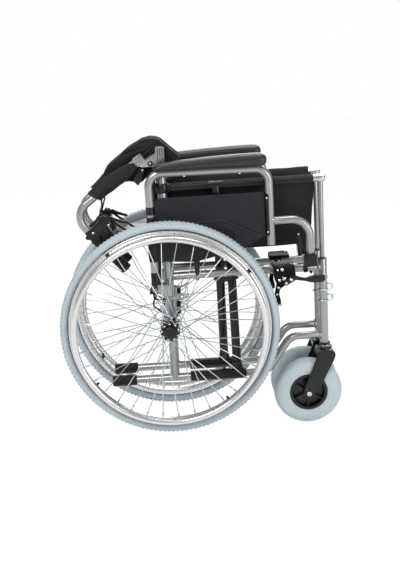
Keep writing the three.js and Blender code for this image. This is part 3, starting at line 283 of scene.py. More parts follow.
def turned(profile, start, axis, sides=32):
    """A closed body of revolution: a profile of (distance along the axis, radius) carried round that axis."""
    profile = np.asarray(profile, float)
    axis = np.asarray(axis, float) / np.linalg.norm(axis)
    helper = np.array([0.0, 1.0, 0.0]) if abs(axis[1]) < 0.9 else np.array([1.0, 0.0, 0.0])
    first = np.cross(axis, helper)
    first /= np.linalg.norm(first)
    second = np.cross(axis, first)
    angle = around(sides)
    ring = first * np.cos(angle)[:, None] + second * np.sin(angle)[:, None]
    middle = np.asarray(start, float) + axis * profile[:, :1]
    return skin(middle[:, None] + ring * profile[:, 1, None, None])


def hoop(profile, sides=144):
    """A ring round the wheel axis: a closed profile of (radius, out) carried round the full turn."""
    radius, out = np.asarray(profile, float).T
    angle = around(sides)[:, None]
    return looped(grid(np.cos(angle) * radius, out, np.sin(angle) * radius))


def rounded(profile, radius, steps=4):
    """A closed outline whose corners are rounded by quadratic curves that start the radius before each."""
    p = np.asarray(profile, float)
    share = np.linspace(0, 1, steps + 1)[:, None]
    result = []
    for before, corner, after in zip(np.roll(p, 1, 0), p, np.roll(p, -1, 0)):
        back, ahead = before - corner, after - corner
        lengths = np.linalg.norm(back), np.linalg.norm(ahead)
        reach = min(radius, 0.45 * min(lengths))
        a, b = corner + back / lengths[0] * reach, corner + ahead / lengths[1] * reach
        result.append((1 - share) ** 2 * a + 2 * share * (1 - share) * corner + share ** 2 * b)
    return np.concatenate(result)


def bevelled(shape, width, segments=2):
    """A shape whose sharp edges are rounded off by a bevel of the given width."""
    mesh = bpy.data.meshes.new("bevel")
    mesh.from_pydata(np.asarray(shape[0]).tolist(), [], shape[1])
    work = bmesh.new()
    work.from_mesh(mesh)
    bmesh.ops.recalc_face_normals(work, faces=work.faces)
    sharp = [e for e in work.edges if len(e.link_faces) == 2 and e.calc_face_angle(0) > math.radians(32)]
    bmesh.ops.bevel(work, geom=sharp, offset=width, segments=segments, profile=0.6, affect="EDGES",
                    clamp_overlap=True)
    work.to_mesh(mesh)
    work.free()
    points = np.empty(len(mesh.vertices) * 3)
    mesh.vertices.foreach_get("co", points)
    faces = [tuple(f.vertices) for f in mesh.polygons]
    bpy.data.meshes.remove(mesh)
    return points.reshape(-1, 3), faces


def plate(outline, out_from, out_to, edge=0.8, corner=0.0, segments=2):
    """A flat plate: an outline of (along, up) points carried across, its corners and edges rounded."""
    outline = rounded(outline, corner, 5) if corner else np.asarray(outline, float)
    rings = [grid(outline[:, 0], out, outline[:, 1]) for out in (out_from, out_to)]
    return bevelled(skin(rings), edge, segments)


def block(along, out, up, edge=1.0):
    """A block between two limits on each axis, its edges rounded."""
    return plate([(along[0], up[0]), (along[1], up[0]), (along[1], up[1]), (along[0], up[1])], *out, edge)


def link(start, end, radius, points=9):
    """The outline of a bar with round ends: two half circles joined by straight sides."""
    heading = math.atan2(end[1] - start[1], end[0] - start[0])
    angle = heading + np.linspace(-math.pi / 2, math.pi / 2, points)
    half_circle = np.stack([np.cos(angle), np.sin(angle)], 1) * radius
    return np.concatenate([np.array(end) + half_circle, np.array(start) - half_circle])


def screw(centre, radius, height, way=1.0, sides=20):
    """A domed screw head, standing on the out side (way 1) or the inner side (-1), with a recess."""
    dome = [(0, radius * 0.9), (height * 0.35, radius), (height * 0.8, radius * 0.72),
            (height, radius * 0.45), (height * 0.6, radius * 0.4), (height * 0.55, 0.05)]
    return turned(dome, centre, (0, way, 0), sides)


def channel(along, inner, outer, degrees, up, ripple=0.0):
    """A wall bent round an upright leg of the armrest, between two bearings from the out axis.

    Its outer radius swells from half its thickness at either end, and may ripple with height and bearing.
    """
    angle = np.radians(np.linspace(degrees[0], degrees[1], 40))
    height = np.linspace(up[0], up[1], 24)[:, None]
    taper = np.clip(np.minimum(height - up[0], up[1] - height) / 4, 0, 1) ** 0.5
    far = inner + (outer - inner) * (0.5 + 0.5 * taper) + ripple * np.sin(height / 7) * np.cos(angle * 2)
    near = np.full_like(far, inner)
    radius = np.concatenate([far, near], 1)
    both = np.concatenate([angle, angle[::-1]])
    return skin(grid(along + radius * np.sin(both), ARM_OUT + radius * np.cos(both), height))


def spun(shape, angle):
    """A shape turned by an angle about the wheel axis."""
    c, s = math.cos(angle), math.sin(angle)
    x, w, z = shape[0].T
    return np.stack([x * c - z * s, w, x * s + z * c], 1), shape[1]


# Pieces
def make(name, shape, material, body, nodes=(), angle=SHARP_FROM):
    """A finished piece: the shape in metres as a smooth mesh with its faces outward, riding on a body.

    Edges sharper than the angle, in degrees, stay crisp, and with 0 none do. A piece given no body rides on
    none.
    """
    mesh = bpy.data.meshes.new(name)
    mesh.from_pydata(shape[0].tolist(), [], shape[1])
    work = bmesh.new()
    work.from_mesh(mesh)
    bmesh.ops.recalc_face_normals(work, faces=work.faces)
    work.to_mesh(mesh)
    work.free()
    mesh.shade_smooth()
    if angle:
        mesh.set_sharp_from_angle(angle=math.radians(angle))
    mesh.materials.append(material)
    piece = bpy.data.objects.new(name, mesh)
    bpy.context.scene.collection.objects.link(piece)
    if nodes:
        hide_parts(*nodes)
    if body:
        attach(piece, body)
    return piece


def fit(word, name, shape, material, body, nodes=(), place=pitched, angle=SHARP_FROM):
    """One side's piece, drawn in its own coordinates and set in its place on that side."""
    points = place(SIDES[word], shape[0])
    return make(f"{word}_{name}", (points, shape[1]), material, body and f"{word}_{body}",
                [f"{word}_{node}" for node in nodes], angle)


# Materials
def add(tree, kind, settings=None, **links):
    """One shader node with its settings; each link names an input and gives a value or (node, output)."""
    made = tree.nodes.new(kind)
    for key, value in (settings or {}).items():
        setattr(made, key, value)
    for key, value in links.items():
        numbered = key[0] == "i" and key[1:].isdigit()
        socket = made.inputs[int(key[1:])] if numbered else made.inputs[key.replace("_", " ")]
        if isinstance(value, tuple) and len(value) == 2 and hasattr(value[0], "outputs"):
            tree.links.new(value[0].outputs[value[1]], socket)
        else:
            socket.default_value = value
    return made


def linear(hex_colour):
    """An sRGB hex colour as linear red, green, blue and alpha."""
    parts = [int(hex_colour[i:i + 2], 16) / 255 for i in (1, 3, 5)]
    return tuple(c / 12.92 if c <= 0.04045 else ((c + 0.055) / 1.055) ** 2.4 for c in parts) + (1.0,)


def begun(name, colour, roughness, metallic=0.0, **sockets):
    """A material with its principled shader set to plain values, ready for patterns."""
    material = bpy.data.materials.new(name)
    material.use_nodes = True
    tree = material.node_tree
    shader = tree.nodes["Principled BSDF"]
    shader.inputs["Base Color"].default_value = linear(colour)
    shader.inputs["Roughness"].default_value = roughness
    shader.inputs["Metallic"].default_value = metallic
    if not metallic:
        # matt skins throw back less of the white room than bare gloss would
        shader.inputs["Specular IOR Level"].default_value = 0.3
    for key, value in sockets.items():
        shader.inputs[key.replace("_", " ")].default_value = value
    return material, tree, shader


def two_toned(tree, shader, factor, tones):
    """Base colour that drifts between two tones with a factor."""
    first, second = (linear(tone) for tone in tones)
    tone = add(tree, "ShaderNodeMix", {"data_type": "RGBA"}, Factor=factor, i6=first, i7=second)
    tree.links.new(tone.outputs[2], shader.inputs["Base Color"])


def in_relief(tree, shader, height, strength, depth):
    """Fine relief on a finish: the height pattern as a bump of a depth in millimetres."""
    relief = add(tree, "ShaderNodeBump", Height=height, Strength=strength, Distance=depth / 1000)
    tree.links.new(relief.outputs["Normal"], shader.inputs["Normal"])


def mottled(name, tones, roughness, grain, bump_strength, metallic=0.0, **sockets):
    """A finish whose colour drifts between two tones, with fine relief and gloss of the grain's size in mm.

    The fine noise has one cell to a grain, and the drift of colour is about eight times as broad.
    """
    material, tree, shader = begun(name, tones[0], roughness, metallic, **sockets)
    place = add(tree, "ShaderNodeTexCoord")
    cells = 1000 / grain
    broad = add(tree, "ShaderNodeTexNoise", Vector=(place, "Object"), Scale=cells * 0.12, Detail=3.0)
    fine = add(tree, "ShaderNodeTexNoise", Vector=(place, "Object"), Scale=cells, Detail=4.0, Roughness=0.6)
    two_toned(tree, shader, (broad, "Fac"), tones)
    swing = 0.06
    rough = add(tree, "ShaderNodeMapRange", Value=(fine, "Fac"), From_Min=0.3, From_Max=0.7,
                To_Min=max(roughness - swing, 0.02), To_Max=min(roughness + swing, 1.0))
    tree.links.new(rough.outputs["Result"], shader.inputs["Roughness"])
    in_relief(tree, shader, (fine, "Fac"), bump_strength, 0.2)
    return material


def skinned_foam():
    """Integral-skin polyurethane foam: dark grey with a soft sheen and a leather-like grain of about 2 mm."""
    material, tree, shader = begun("skinned_foam_dark_grey", "#242326", 0.34, Specular_IOR_Level=0.42)
    place = add(tree, "ShaderNodeTexCoord")
    grain = add(tree, "ShaderNodeTexVoronoi", {"feature": "DISTANCE_TO_EDGE"}, Vector=(place, "Object"),
                Scale=500.0)
    broad = add(tree, "ShaderNodeTexNoise", Vector=(place, "Object"), Scale=30.0, Detail=3.0)
    two_toned(tree, shader, (broad, "Fac"), ("#28272a", "#1f1e21"))
    in_relief(tree, shader, (grain, "Distance"), 0.3, 0.3)
    return material


def woven(name, tones, thread, strength):
    """Woven nylon: warp and weft ridges multiplied together, drawn at a thread spacing in millimetres."""
    material, tree, shader = begun(name, tones[0], 0.7, 0.0, Sheen_Weight=0.05, Sheen_Roughness=0.4)
    place = add(tree, "ShaderNodeTexCoord")
    # a wave texture makes one ridge each 2 pi / (20 x scale) of a metre
    scale = TURN / 20 / (thread / 1000)
    warp, weft = (add(tree, "ShaderNodeTexWave", {"bands_direction": way}, Vector=(place, "Object"),
                      Scale=scale, Distortion=0.4) for way in ("X", "Z"))
    cloth = add(tree, "ShaderNodeMath", {"operation": "MULTIPLY"}, i0=(warp, "Fac"), i1=(weft, "Fac"))
    wear = add(tree, "ShaderNodeTexNoise", Vector=(place, "Object"), Scale=38.0, Detail=5.0)
    blend = add(tree, "ShaderNodeMath", {"operation": "MULTIPLY_ADD"}, i0=(cloth, 0), i1=0.45,
                i2=(wear, "Fac"))
    tone = add(tree, "ShaderNodeMapRange", Value=(blend, 0), From_Min=0.3, From_Max=1.0)
    two_toned(tree, shader, (tone, "Result"), tones)
    in_relief(tree, shader, (cloth, 0), strength, 0.4)
    return material


# Metallic powder coat on steel tube: neutral silver grey, small flake under a satin clear skin.
FRAME_PAINT = mottled("metallic_powder_coat_grey", ("#a6a7a7", "#959696"), 0.3, 1.1, 0.1, metallic=0.72,
                      Coat_Weight=0.25, Coat_Roughness=0.12)
# Die-cast aluminium, tumbled and left bare: bright grey with a faint cast grain.
CASTING = mottled("die_cast_aluminium", ("#b4b6b7", "#999b9d"), 0.3, 2.4, 0.3, metallic=0.9)
# Anodised aluminium tube: clean silver.
RAIL = mottled("anodised_aluminium_tube", ("#d2d2d1", "#bababa"), 0.22, 2.0, 0.1, metallic=0.95)
# Anodised aluminium rim and handrim: pale satin silver.
ALLOY = mottled("anodised_aluminium_rim", ("#e2e2e1", "#d3d3d2"), 0.26, 2.4, 0.04, metallic=0.85)
# Stainless spoke wire: hard, clean and glossy.
WIRE = mottled("stainless_steel_wire", ("#ccd2d4", "#b9c0c3"), 0.24, 1.7, 0.05, metallic=0.95)
# Zinc-plated screw heads: bright, a little uneven from the plating bath.
SCREW = mottled("zinc_plated_screw", ("#dcdddb", "#c0c1be"), 0.22, 1.4, 0.2, metallic=0.92)
# Puncture-proof polyurethane tyre: pale blue-grey and matt, with the mould's fine grain.
TYRE = mottled("polyurethane_tyre_grey", ("#b2bcc1", "#a7b1b6"), 0.6, 1.6, 0.3)
# Glass-filled nylon mouldings: near black and satin, with a fine spark-eroded grain.
NYLON = mottled("moulded_nylon_black", ("#08080a", "#0f0f11"), 0.3, 1.3, 0.2, Specular_IOR_Level=0.42)
# Black powder coat on steel: deep and even, its highlights narrow along the tubes.
BLACK_PAINT = mottled("powder_coat_black", ("#050507", "#0a0a0c"), 0.28, 2.0, 0.12, Specular_IOR_Level=0.45)
# Phosphated steel of the parking brake: black and dull, so that its flat tops stay dark.
DULL_STEEL = mottled("phosphated_steel_black", ("#050506", "#0b0b0c"), 0.55, 1.6, 0.25,
                     Specular_IOR_Level=0.15)
# Moulded thermoplastic rubber: black, matt, slightly dusty.
RUBBER = mottled("thermoplastic_rubber_black", ("#0f0f10", "#191819"), 0.55, 1.4, 0.35)
# Extruded vinyl cable sleeve: black and smooth with a soft shine.
SLEEVE = mottled("vinyl_sleeve_black", ("#08080a", "#0e0e10"), 0.3, 2.0, 0.08)
PAD_SKIN = skinned_foam()
# The real thread spacing is about 0.5 mm; it is drawn at 2 mm so that it shows at this size.
CLOTH = woven("woven_nylon_black", ("#111012", "#1f1e21"), 2.0, 0.5)
GUARD_CLOTH = woven("coated_nylon_charcoal", ("#17161b", "#232228"), 2.0, 0.4)
# Painted highlight: a charcoal a shade above the cloth, for thin lines that stand in for caught light.
PAINTED_HIGHLIGHT = mottled("painted_highlight_grey", ("#3c3c40", "#2f2f33"), 0.45, 1.0, 0.2)


# Side frame
def side_frame(word):
    """Welded tube frame: circles carried along the uprights and the rails, with turned beads at the welds."""
    rise = FRONT_FOOT + 29
    rail_end = FRONT_POST - 7.2
    bead = [(0, 12.2), (1.5, 13.6), (3.6, 13.6), (5.2, 11.4)]
    weld = 10.5
    tubes = joined(
        tube([(REAR_POST, 0, LOWER_TUBE), (REAR_POST, 0, REAR_TOP)], UPRIGHT_RADIUS, edge=1.0),
        tube([(REAR_POST, 0, UPPER_RAIL), (rail_end, 0, UPPER_RAIL)], TUBE_RADIUS, edge=0.3),
        tube([(FRONT_POST, 0, FRONT_FOOT), (FRONT_POST, 0, FRONT_TOP)], UPRIGHT_RADIUS, edge=1.0),
        tube([(-171, 0, LOWER_TUBE), (268, 0, LOWER_TUBE), (338, 0, rise), (rail_end, 0, rise)],
             TUBE_RADIUS, 45, edge=0.3, steps=14),
        turned(bead, (REAR_POST + weld, 0, UPPER_RAIL), AHEAD),
        turned(bead, (FRONT_POST - weld, 0, UPPER_RAIL), BACK),
        turned(bead, (FRONT_POST - weld, 0, rise), BACK),
        turned(bead, (REAR_POST, 0, LOWER_TUBE + 9.5), UP))
    fit(word, "frame_tubes", tubes, FRAME_PAINT, "side", ("side_frame",))
    armrest_pivot(word)
    wire_clips(word)
    collar = [(0, 12.4), (0.4, 13.2), (1.8, 13.2), (2.4, 12.0), (2.6, 7.6)]
    foot = [(0, 8.4), (0.4, 12.0), (1.2, 12.9), (8.6, 12.9), (9.2, 12.5)]
    collars = joined(turned(collar, (FRONT_POST, 0, FRONT_TOP - 0.6), UP),
                     turned(foot, (FRONT_POST, 0, FRONT_FOOT - 2.6), UP))
    fit(word, "tube_collars", collars, NYLON, "side")
    nut = [(0, 5.4), (3.4, 5.4), (4.0, 4.4), (7.0, 2.6)]
    nuts = joined(*[turned(nut, (along, 0, UPPER_RAIL - 10.6), DOWN, 6) for along in (402, 84)])
    fit(word, "rail_nuts", nuts, SLEEVE, "side")


def armrest_pivot(word):
    """The armrest's pivot: a welded bar, gusset and outer cheek, with a ring and a pin through them."""
    inner, outer = 14, 38.6
    eye = link((ARM_REAR, ARM_PIVOT), (REAR_POST, ARM_PIVOT), 11, 12)
    gusset = [(ARM_REAR, 121.5), (REAR_POST, 120), (4, 84), (-21, 98)]
    cheek = np.concatenate([arc((ARM_REAR, ARM_PIVOT), 10.6, 95, 262, 14),
                            [(-24, 102), (-9, 89), (8, 87), (11, 90), (11, 121.5), (6, 122.6)]])
    plates = joined(plate(eye, 9.5, inner, 0.9), plate(gusset, 9.6, 13.9, 0.9, 4),
                    plate(cheek, 36.3, outer, 0.7),
                    turned([(0, 6), (24, 6)], (REAR_POST, 12.4, ARM_PIVOT), OUT, 24))
    fit(word, "pivot_plate", plates, FRAME_PAINT, "side")
    ring = [(0, 3.4), (0, 6.4), (0.5, 6.6), (0.9, 6.0), (0.9, 3.4)]
    fit(word, "pivot_ring", turned(ring, (ARM_REAR, outer, ARM_PIVOT), OUT, 28), NYLON, "side")
    pin = turned([(0, 4.9), (24.6, 4.9), (25.6, 3.2)], (ARM_REAR, inner, ARM_PIVOT), OUT)
    fit(word, "pivot_pin", pin, FRAME_PAINT, "side")


def wire_clips(word):
    """Two wire clips on the front upright: an open loop that climbs a little, and a hooked tail."""
    reach, wire = 15.2, 2.3
    angle = np.linspace(0.2, TURN - 0.5, 40)
    clips = []
    for up in (70, 38):
        loop = grid(FRONT_POST + reach * np.cos(angle), reach * np.sin(angle), up + 1.2 * np.sin(angle / 2))
        tail = [(447, 7, up), (456, 3, up), (461, -2, up + 5), (460, -7, up + 12), (452, -10, up + 14),
                (446, -10, up + 9)]
        clips += [tube(loop, wire, 0.1, 10, 0.8, 1), tube(tail, wire, 5, 10, 0.8, 5)]
    fit(word, "wire_clips", joined(*clips), WIRE, "side")


def rear_tip(word):
    """Moulded end cap on the lower tube: a turned profile with two shallow grooves."""
    profile = [(0, 9), (0.3, 14.4), (1.2, 15.3), (8, 15.5), (9, 14.9), (11, 14.9), (12, 15.5), (36, 15.5),
               (37, 14.9), (39, 14.9), (40, 15.5), (66.8, 15.5), (67.8, 14.8), (68, 11.2)]
    fit(word, "end_cap", turned(profile, (-177, 0, LOWER_TUBE), AHEAD, 40), RUBBER, "side", ("rear_tip",))


def seat_guide(word):
    """Moulded cradle on the upper rail: a clip below, two upright cheeks that catch the seat rail."""
    cheek = [(79.5, 136), (90, 136), (92, 160), (93, 182), (76, 182), (77, 160)]
    screw_along = 84.5
    guide = joined(plate(cheek, 11.3, 14.3, 0.8, 2), plate(cheek, -14.3, -11.3, 0.8, 2),
                   block((78, 91.5), (-13.6, 13.6), (145, 149.5)),
                   turned([(0, 4.6), (3.4, 4.6), (4.4, 3.4)], (screw_along, 0, 124.6), DOWN, 20),
                   turned([(0, 7.4), (1.2, 7.4), (1.6, 4)], (screw_along, 0, 125.4), DOWN, 24))
    fit(word, "rail_cradle", guide, NYLON, "side", ("seat_guide",))


def back_hinge(word):
    """Die-cast hinge block on the rear upright: front wall, two beaked cheeks with ribs, pin heads."""
    low, top, face = HINGE_FLOOR, 496, 15.4
    cheek = [(-46.8, low), (14, low), (14, top), (-7, top), (-8, 478), (-30, 467), (-56, 453), (-52, 449)]
    cheeks = [plate(cheek, a, b, 0.9, 2.5) for a, b in ((12.9, face), (-face, -12.9))]
    ribs, grooves = [], []
    for way in (-1, 1):
        for along in (-6, 0.4, 6.8, 12):
            rib = [(along, 455), (along + 2.2, 454), (along + 2.2, 494), (along, 494)]
            ribs.append(plate(rib, way * 15.2, way * 16.8, 0.5))
        # black strips laid between the ribs: painted shade in the grooves there
        for along in (-2.6, 3.8, 9.8):
            grooves.append(block((along, along + 1.6), sorted((way * 15.1, way * 15.8)), (456, 493), 0.3))
    body = joined(*cheeks, *ribs, block((13.4, 16), (-13.2, 13.2), (low, 494), 0.9),
                  block((-7, 15), (-15.3, 15.3), (low, 449.3), 0.9))
    fit(word, "hinge_block", body, CASTING, "side", ("back_hinge",))
    fit(word, "hinge_groove_shade", joined(*grooves), NYLON, "side")
    washer = [(0, 7.6), (1.2, 7.6), (1.8, 6.8), (1.8, 4.0)]
    washers = joined(*[turned(washer, HINGE + (0, w, 0), (0, w, 0), 28) for w in (15.3, -15.3)])
    fit(word, "hinge_washers", washers, NYLON, "side")
    rivets = joined(*[screw(HINGE + (0, way * 16.4, 0), 3.6, 1.8, way) for way in (1, -1)])
    fit(word, "hinge_rivets", rivets, CASTING, "side")


def lower_cable(word):
    """Brake cables held down the rear upright: one turns in to the drum, one loops out behind the upright."""
    route = [(-18.4, 0, REAR_TOP), (-18.4, 0, 112), (-43, 3, 66), (-43, 9, 54), (-18, 20.75, 36),
             (-18, 20.75, 31.9)]
    cable = tube(route, CABLE_RADIUS, 10, 14, 0.4, 8)
    fit(word, "cable_lower", cable, SLEEVE, "side", ("lower_cable",))
    crossing = [(-20.5, -4.8, REAR_TOP), (-20.5, -4.8, 122), (-41, -4, 100), (-41, -3, 70), (-26, -3, 69),
                (-8, -3, 68)]
    loop = tube(crossing, CABLE_RADIUS, 11, 12, 0.4, 8)
    clips = [block((-23.5, -11), (-7.4, 4.4), (up, up + 8), 0.8) for up in (150, 260)]
    fit(word, "cable_loop", joined(loop, *clips), SLEEVE, "side")


def drum_brake(word):
    """Drum brake's back plate with its ribs, the arm that the cable pulls, the bellows and the axle."""
    inner, outer = 13.1, 17.1
    drum = [(0, 26), (0.8, 27.6), (3, 28.4), (13, 28.4), (15.4, 27.4), (16.2, 26)]
    rib = block((12, 27), (11.9, 13.4), (-1.2, 1.2), 0.5)
    ribs = [spun(rib, angle) for angle in around(8)]
    horn = [(-4, 80), (12, 80), (22, 77), (33, 74.6), (42, 76), (48, 80.6), (53, 84.4), (58, 82), (58, 77),
            (53, 75), (45, 71), (34, 68.4), (22, 69.6), (12, 72), (-4, 72)]
    stem = [(10, 22), (13, 73), (20, 72), (21, 53), (42, 52), (44, 47), (38, 43), (27, 42), (27, 22)]
    parts = joined(turned(drum, (0, 12.9, 0), OUT, 64), *ribs, plate(horn, inner, outer, 0.8),
                   plate(stem, inner, outer, 1.0, 3))
    fit(word, "drum_plate", parts, CASTING, "side", ("axle_and_drum",))
    bellows = []
    for low, high, radius in ((52, 68, 6.6), (32, 44, 5.4)):
        waist = radius - 1.8
        folds = [(0, 3.0)]
        for up in np.arange(0.6, high - low - 2.5, 3.6):
            folds += [(up, radius), (up + 1.4, waist), (up + 2.2, waist), (up + 3.4, radius)]
        bellows.append(turned(folds + [(high - low, 2.6)], (27, 20, low), UP, 28))
    fit(word, "drum_bellows", joined(*bellows), RUBBER, "side")
    axle = turned([(0, 5.9), (80, 5.9)], (0, 13, 0), OUT)
    pull = joined(tube([(53.6, 15, 80), (52.6, 15, 46)], 1.2, sides=12, edge=0.4),
                  turned([(0, 2.0), (0.8, 3.4), (8, 3.4), (9, 2.0)], (52.4, 15, 42), UP))
    heads = [screw((53, outer, 80), 3.4, 2.2), screw((8, outer, 76), 2.6, 1.6)]
    fit(word, "axle", joined(axle, pull, *heads), SCREW, "side")
    end = turned([(0, 6.2), (3.6, 6.2), (4.6, 5.0)], (0, 92, 0), OUT)
    fit(word, "axle_end", end, NYLON, "side")


def armrest_socket(word):
    """Moulded socket for the armrest's branch: four walls and a floor, its clamping tab and its latch."""
    low, high, inside, outside = 148, 183, 11.4, 43.5
    middle = (380, 413)
    walls = [((379.5, 382.5), (inside, outside), (low, high), 1.1),
             ((410.5, 413.5), (inside, outside), (low, high), 1.1),
             (middle, (inside, 15.4), (low, high), 1.1),
             (middle, (40.6, outside), (low, high), 1.1),
             (middle, (11.6, 43.3), (low, 153.8), 1.2),
             ((378.8, 414.2), (40.2, 44.1), (173, 179), 0.6),
             ((379.6, 391.2), (11.5, 15.2), (125.2, 150), 0.9)]
    latch = [(377, 172), (384, 174), (383, 186), (374, 222), (372.5, 240), (365, 241), (365, 228), (371, 200)]
    body = joined(*[block(*wall) for wall in walls], plate(latch, inside, 14.4, 0.9, 3))
    fit(word, "branch_socket", body, NYLON, "side", ("armrest_socket",))
    heads = joined(screw((369, 14.3, 235), 2.6, 1.5),
                   turned([(0, 3.4), (4, 3.4), (5, 2.4)], (379.6, 27, 178), BACK))
    fit(word, "socket_screws", heads, SCREW, "side")


# Parking brake
def brake_clamp(word):
    """Parking brake body: strap over the upper rail, block beside it, inner jaw and the bracket plate."""
    rear, front, top = 295, 352, 153.4
    inside, outside, face = -13.9, 37.9, 42.9
    bracket = [(rear, top), (front, top), (355, 119), (348, 107), (334, 103.6), (318, 103.6), (300, 105.6),
               (294, 121)]
    jaw = [(297, top), (328, top), (328, 130), (325, 128), (300, 128), (297, 130)]
    shell = joined(plate([(rear, top), (front, top), (front, 146), (rear, 146)], inside, outside, 1.4, 2),
                   plate([(rear, top), (front, top), (front, 123.6), (rear, 123.6)], 11.4, outside, 1.6, 3),
                   plate(jaw, inside, -11.3, 0.8, 1.5),
                   plate(bracket, 37, face, 1.1, 5),
                   block((300, 348), (42.6, 43.8), (130, 133), 0.5),
                   block((302, 349), (42.6, 43.8), (149.5, 151.5), 0.5))
    fit(word, "clamp_body", shell, DULL_STEEL, "side", ("brake_clamp",))
    # each head as its place along and up, its radius and its height
    heads = ((317, 145, 4.8, 2.8), (305, 144, 3.2, 2.0), (*SHOE_PIN, 4.4, 2.6), (322, 118.5, 5.2, 1.8),
             (340, 113, 3.4, 2.0), (*LINK_PIN, 3.4, 2.0))
    nut = [(0, 5.2), (2.8, 5.2), (3.4, 4.2), (5.2, 2.8)]
    nuts = [turned(nut, (along, -13.8, 136), (0, -1, 0), 6) for along in (303, 321)]
    strap = turned([(0, 3.4), (2.4, 3.4), (3.0, 2.4)], (344, 24, top), UP)
    screws = [screw((along, face, up), radius, height) for along, up, radius, height in heads]
    fit(word, "clamp_screws", joined(*screws, *nuts, strap), SCREW, "side")


def brake_lever(word):
    """Parking brake lever: soft square rings from a flat steel neck to a moulded thumb paddle, and an eye."""
    inner, outer_face = 44, 48.9
    along = np.array([336, 344, 354, 366, 378, 386, 393, 402, 413, 423, 429, 432.5, 434.2])
    middle = np.array([116, 119, 120.5, 117, 114.6, 114.2, 115, 115.5, 115.5, 115.6, 115.6, 115.6, 115.6])
    half = np.array([6, 8.6, 6.4, 5.0, 4.6, 6.6, 9.2, 10.3, 10.6, 10.5, 9.6, 7.8, 4.2])
    outer = np.array([49, 49, 49, 49, 49.6, 51.5, 54, 56, 56, 55.8, 55, 53.4, 51.0])
    angle = around(24)
    across = squared(np.cos(angle), 0.6)
    rise = squared(np.sin(angle), 0.7)
    rings = grid(along[:, None], (inner + outer)[:, None] / 2 + (outer - inner)[:, None] / 2 * across,
                 middle[:, None] + half[:, None] * rise)
    eye = plate(link(LEVER_PIN, LINK_PIN, 7.0, 12), 44.1, outer_face, 0.9)
    fit(word, "lever_paddle", joined(skin(rings), eye), NYLON, "lever", ("brake_lever",))
    bolts = [screw((pin[0], outer_face, pin[1]), radius, height)
             for pin, radius, height in ((LEVER_PIN, 4.6, 2.6), (LINK_PIN, 3.8, 2.2))]
    fit(word, "lever_bolt", joined(*bolts), SCREW, "lever")


def brake_shoe(word):
    """Shoe arm of the parking brake: bars with round ends, and the ridged roller that bears on the tyre."""
    inner, outer = 31.1, 36.4
    spans = ((SHOE_PIN, SHOE_KNEE), (SHOE_KNEE, ROLLER), (TOGGLE_PIN, LINK_PIN))
    bars = [plate(link(start, end, 6.3), inner, outer, 0.9) for start, end in spans]
    ridges = [(0, 4.3)]
    for out in np.arange(8, 38, 5):
        ridges += [(out, 4.5), (out + 1, 3.7), (out + 2, 4.5)]
    roller = turned(ridges + [(37.6, 4.5), (38.4, 3.4)], (ROLLER[0], 31.2, ROLLER[1]), OUT, 24)
    guard = plate([(296, 47), (312, 47), (309, 42), (300, 42)], 31.2, 36.2, 0.8, 1.5)
    fit(word, "shoe_arm", joined(*bars, roller, guard), DULL_STEEL, "shoe", ("brake_shoe",))
    rivets = [screw((pin[0], out, pin[1]), radius, height) for pin, out, radius, height in (
        (TOGGLE_PIN, outer, 3.8, 2.2), (SHOE_KNEE, outer, 3.4, 2.2), (ROLLER, 69.5, 2.6, 1.2))]
    fit(word, "shoe_rivets", joined(*rivets), SCREW, "shoe")


# Armrest
def armrest_frame(word):
    """Bent armrest tube with its front branch, black moulded foot, end plug and sleeves on the rear leg."""
    front_top = ARM_TOP - ARM_DROP
    bow = [(ARM_REAR, ARM_OUT, 150), (ARM_REAR, ARM_OUT, ARM_TOP), (ARM_FRONT, ARM_OUT, front_top),
           (ARM_FRONT, ARM_OUT, 214)]
    branch = [(ARM_FRONT, ARM_OUT, BRANCH_UP), (BRANCH_ALONG, ARM_OUT, BRANCH_UP),
              (BRANCH_ALONG, ARM_OUT, 157)]
    bead = [(0, 11.2), (1.5, 12.3), (3.4, 12.0), (4.6, 10.6)]
    tubes = joined(tube(bow, TUBE_RADIUS, 38, 32, 1.4, 14), tube(branch, TUBE_RADIUS, 50, 32, 1.4, 14),
                   turned(bead, (ARM_FRONT + 10, ARM_OUT, BRANCH_UP), AHEAD))
    fit(word, "armrest_tube", tubes, FRAME_PAINT, "armrest", ("armrest_frame",))
    foot = plate([(-42, 158), (-16, 156), (-18, 126), (-23, 98), (-52, 96), (-44, 122)], 20, 36, 2.2, 5)
    leg = turned([(0, 10.4), (1, 11.8), (44, 11.8), (45.5, 11.1)], (ARM_REAR, ARM_OUT, ARM_PIVOT), UP)
    plug = turned([(0, 9.6), (1.2, 11.0), (2.4, 11.0), (2.6, 10.0)], (ARM_FRONT, ARM_OUT, 212.4), UP)
    bands = [turned([(0, 11.1), (0.5, 11.9), (height, 11.9), (height + 0.5, 11.1)],
                    (ARM_REAR, ARM_OUT, up), UP) for up, height in ((318.5, 21), (300.5, 11))]
    fit(word, "armrest_sleeves", joined(foot, leg, plug, *bands), NYLON, "armrest")
    screws = [turned([(0, 3.4), (2.2, 3.4), (2.8, 2.2)], (along, ARM_OUT + 3, float(top_run(along)) - 10.4),
                     (0, 0.3, -1), 16) for along in (66, 214)]
    fit(word, "pad_screws", joined(*screws), SCREW, "armrest")


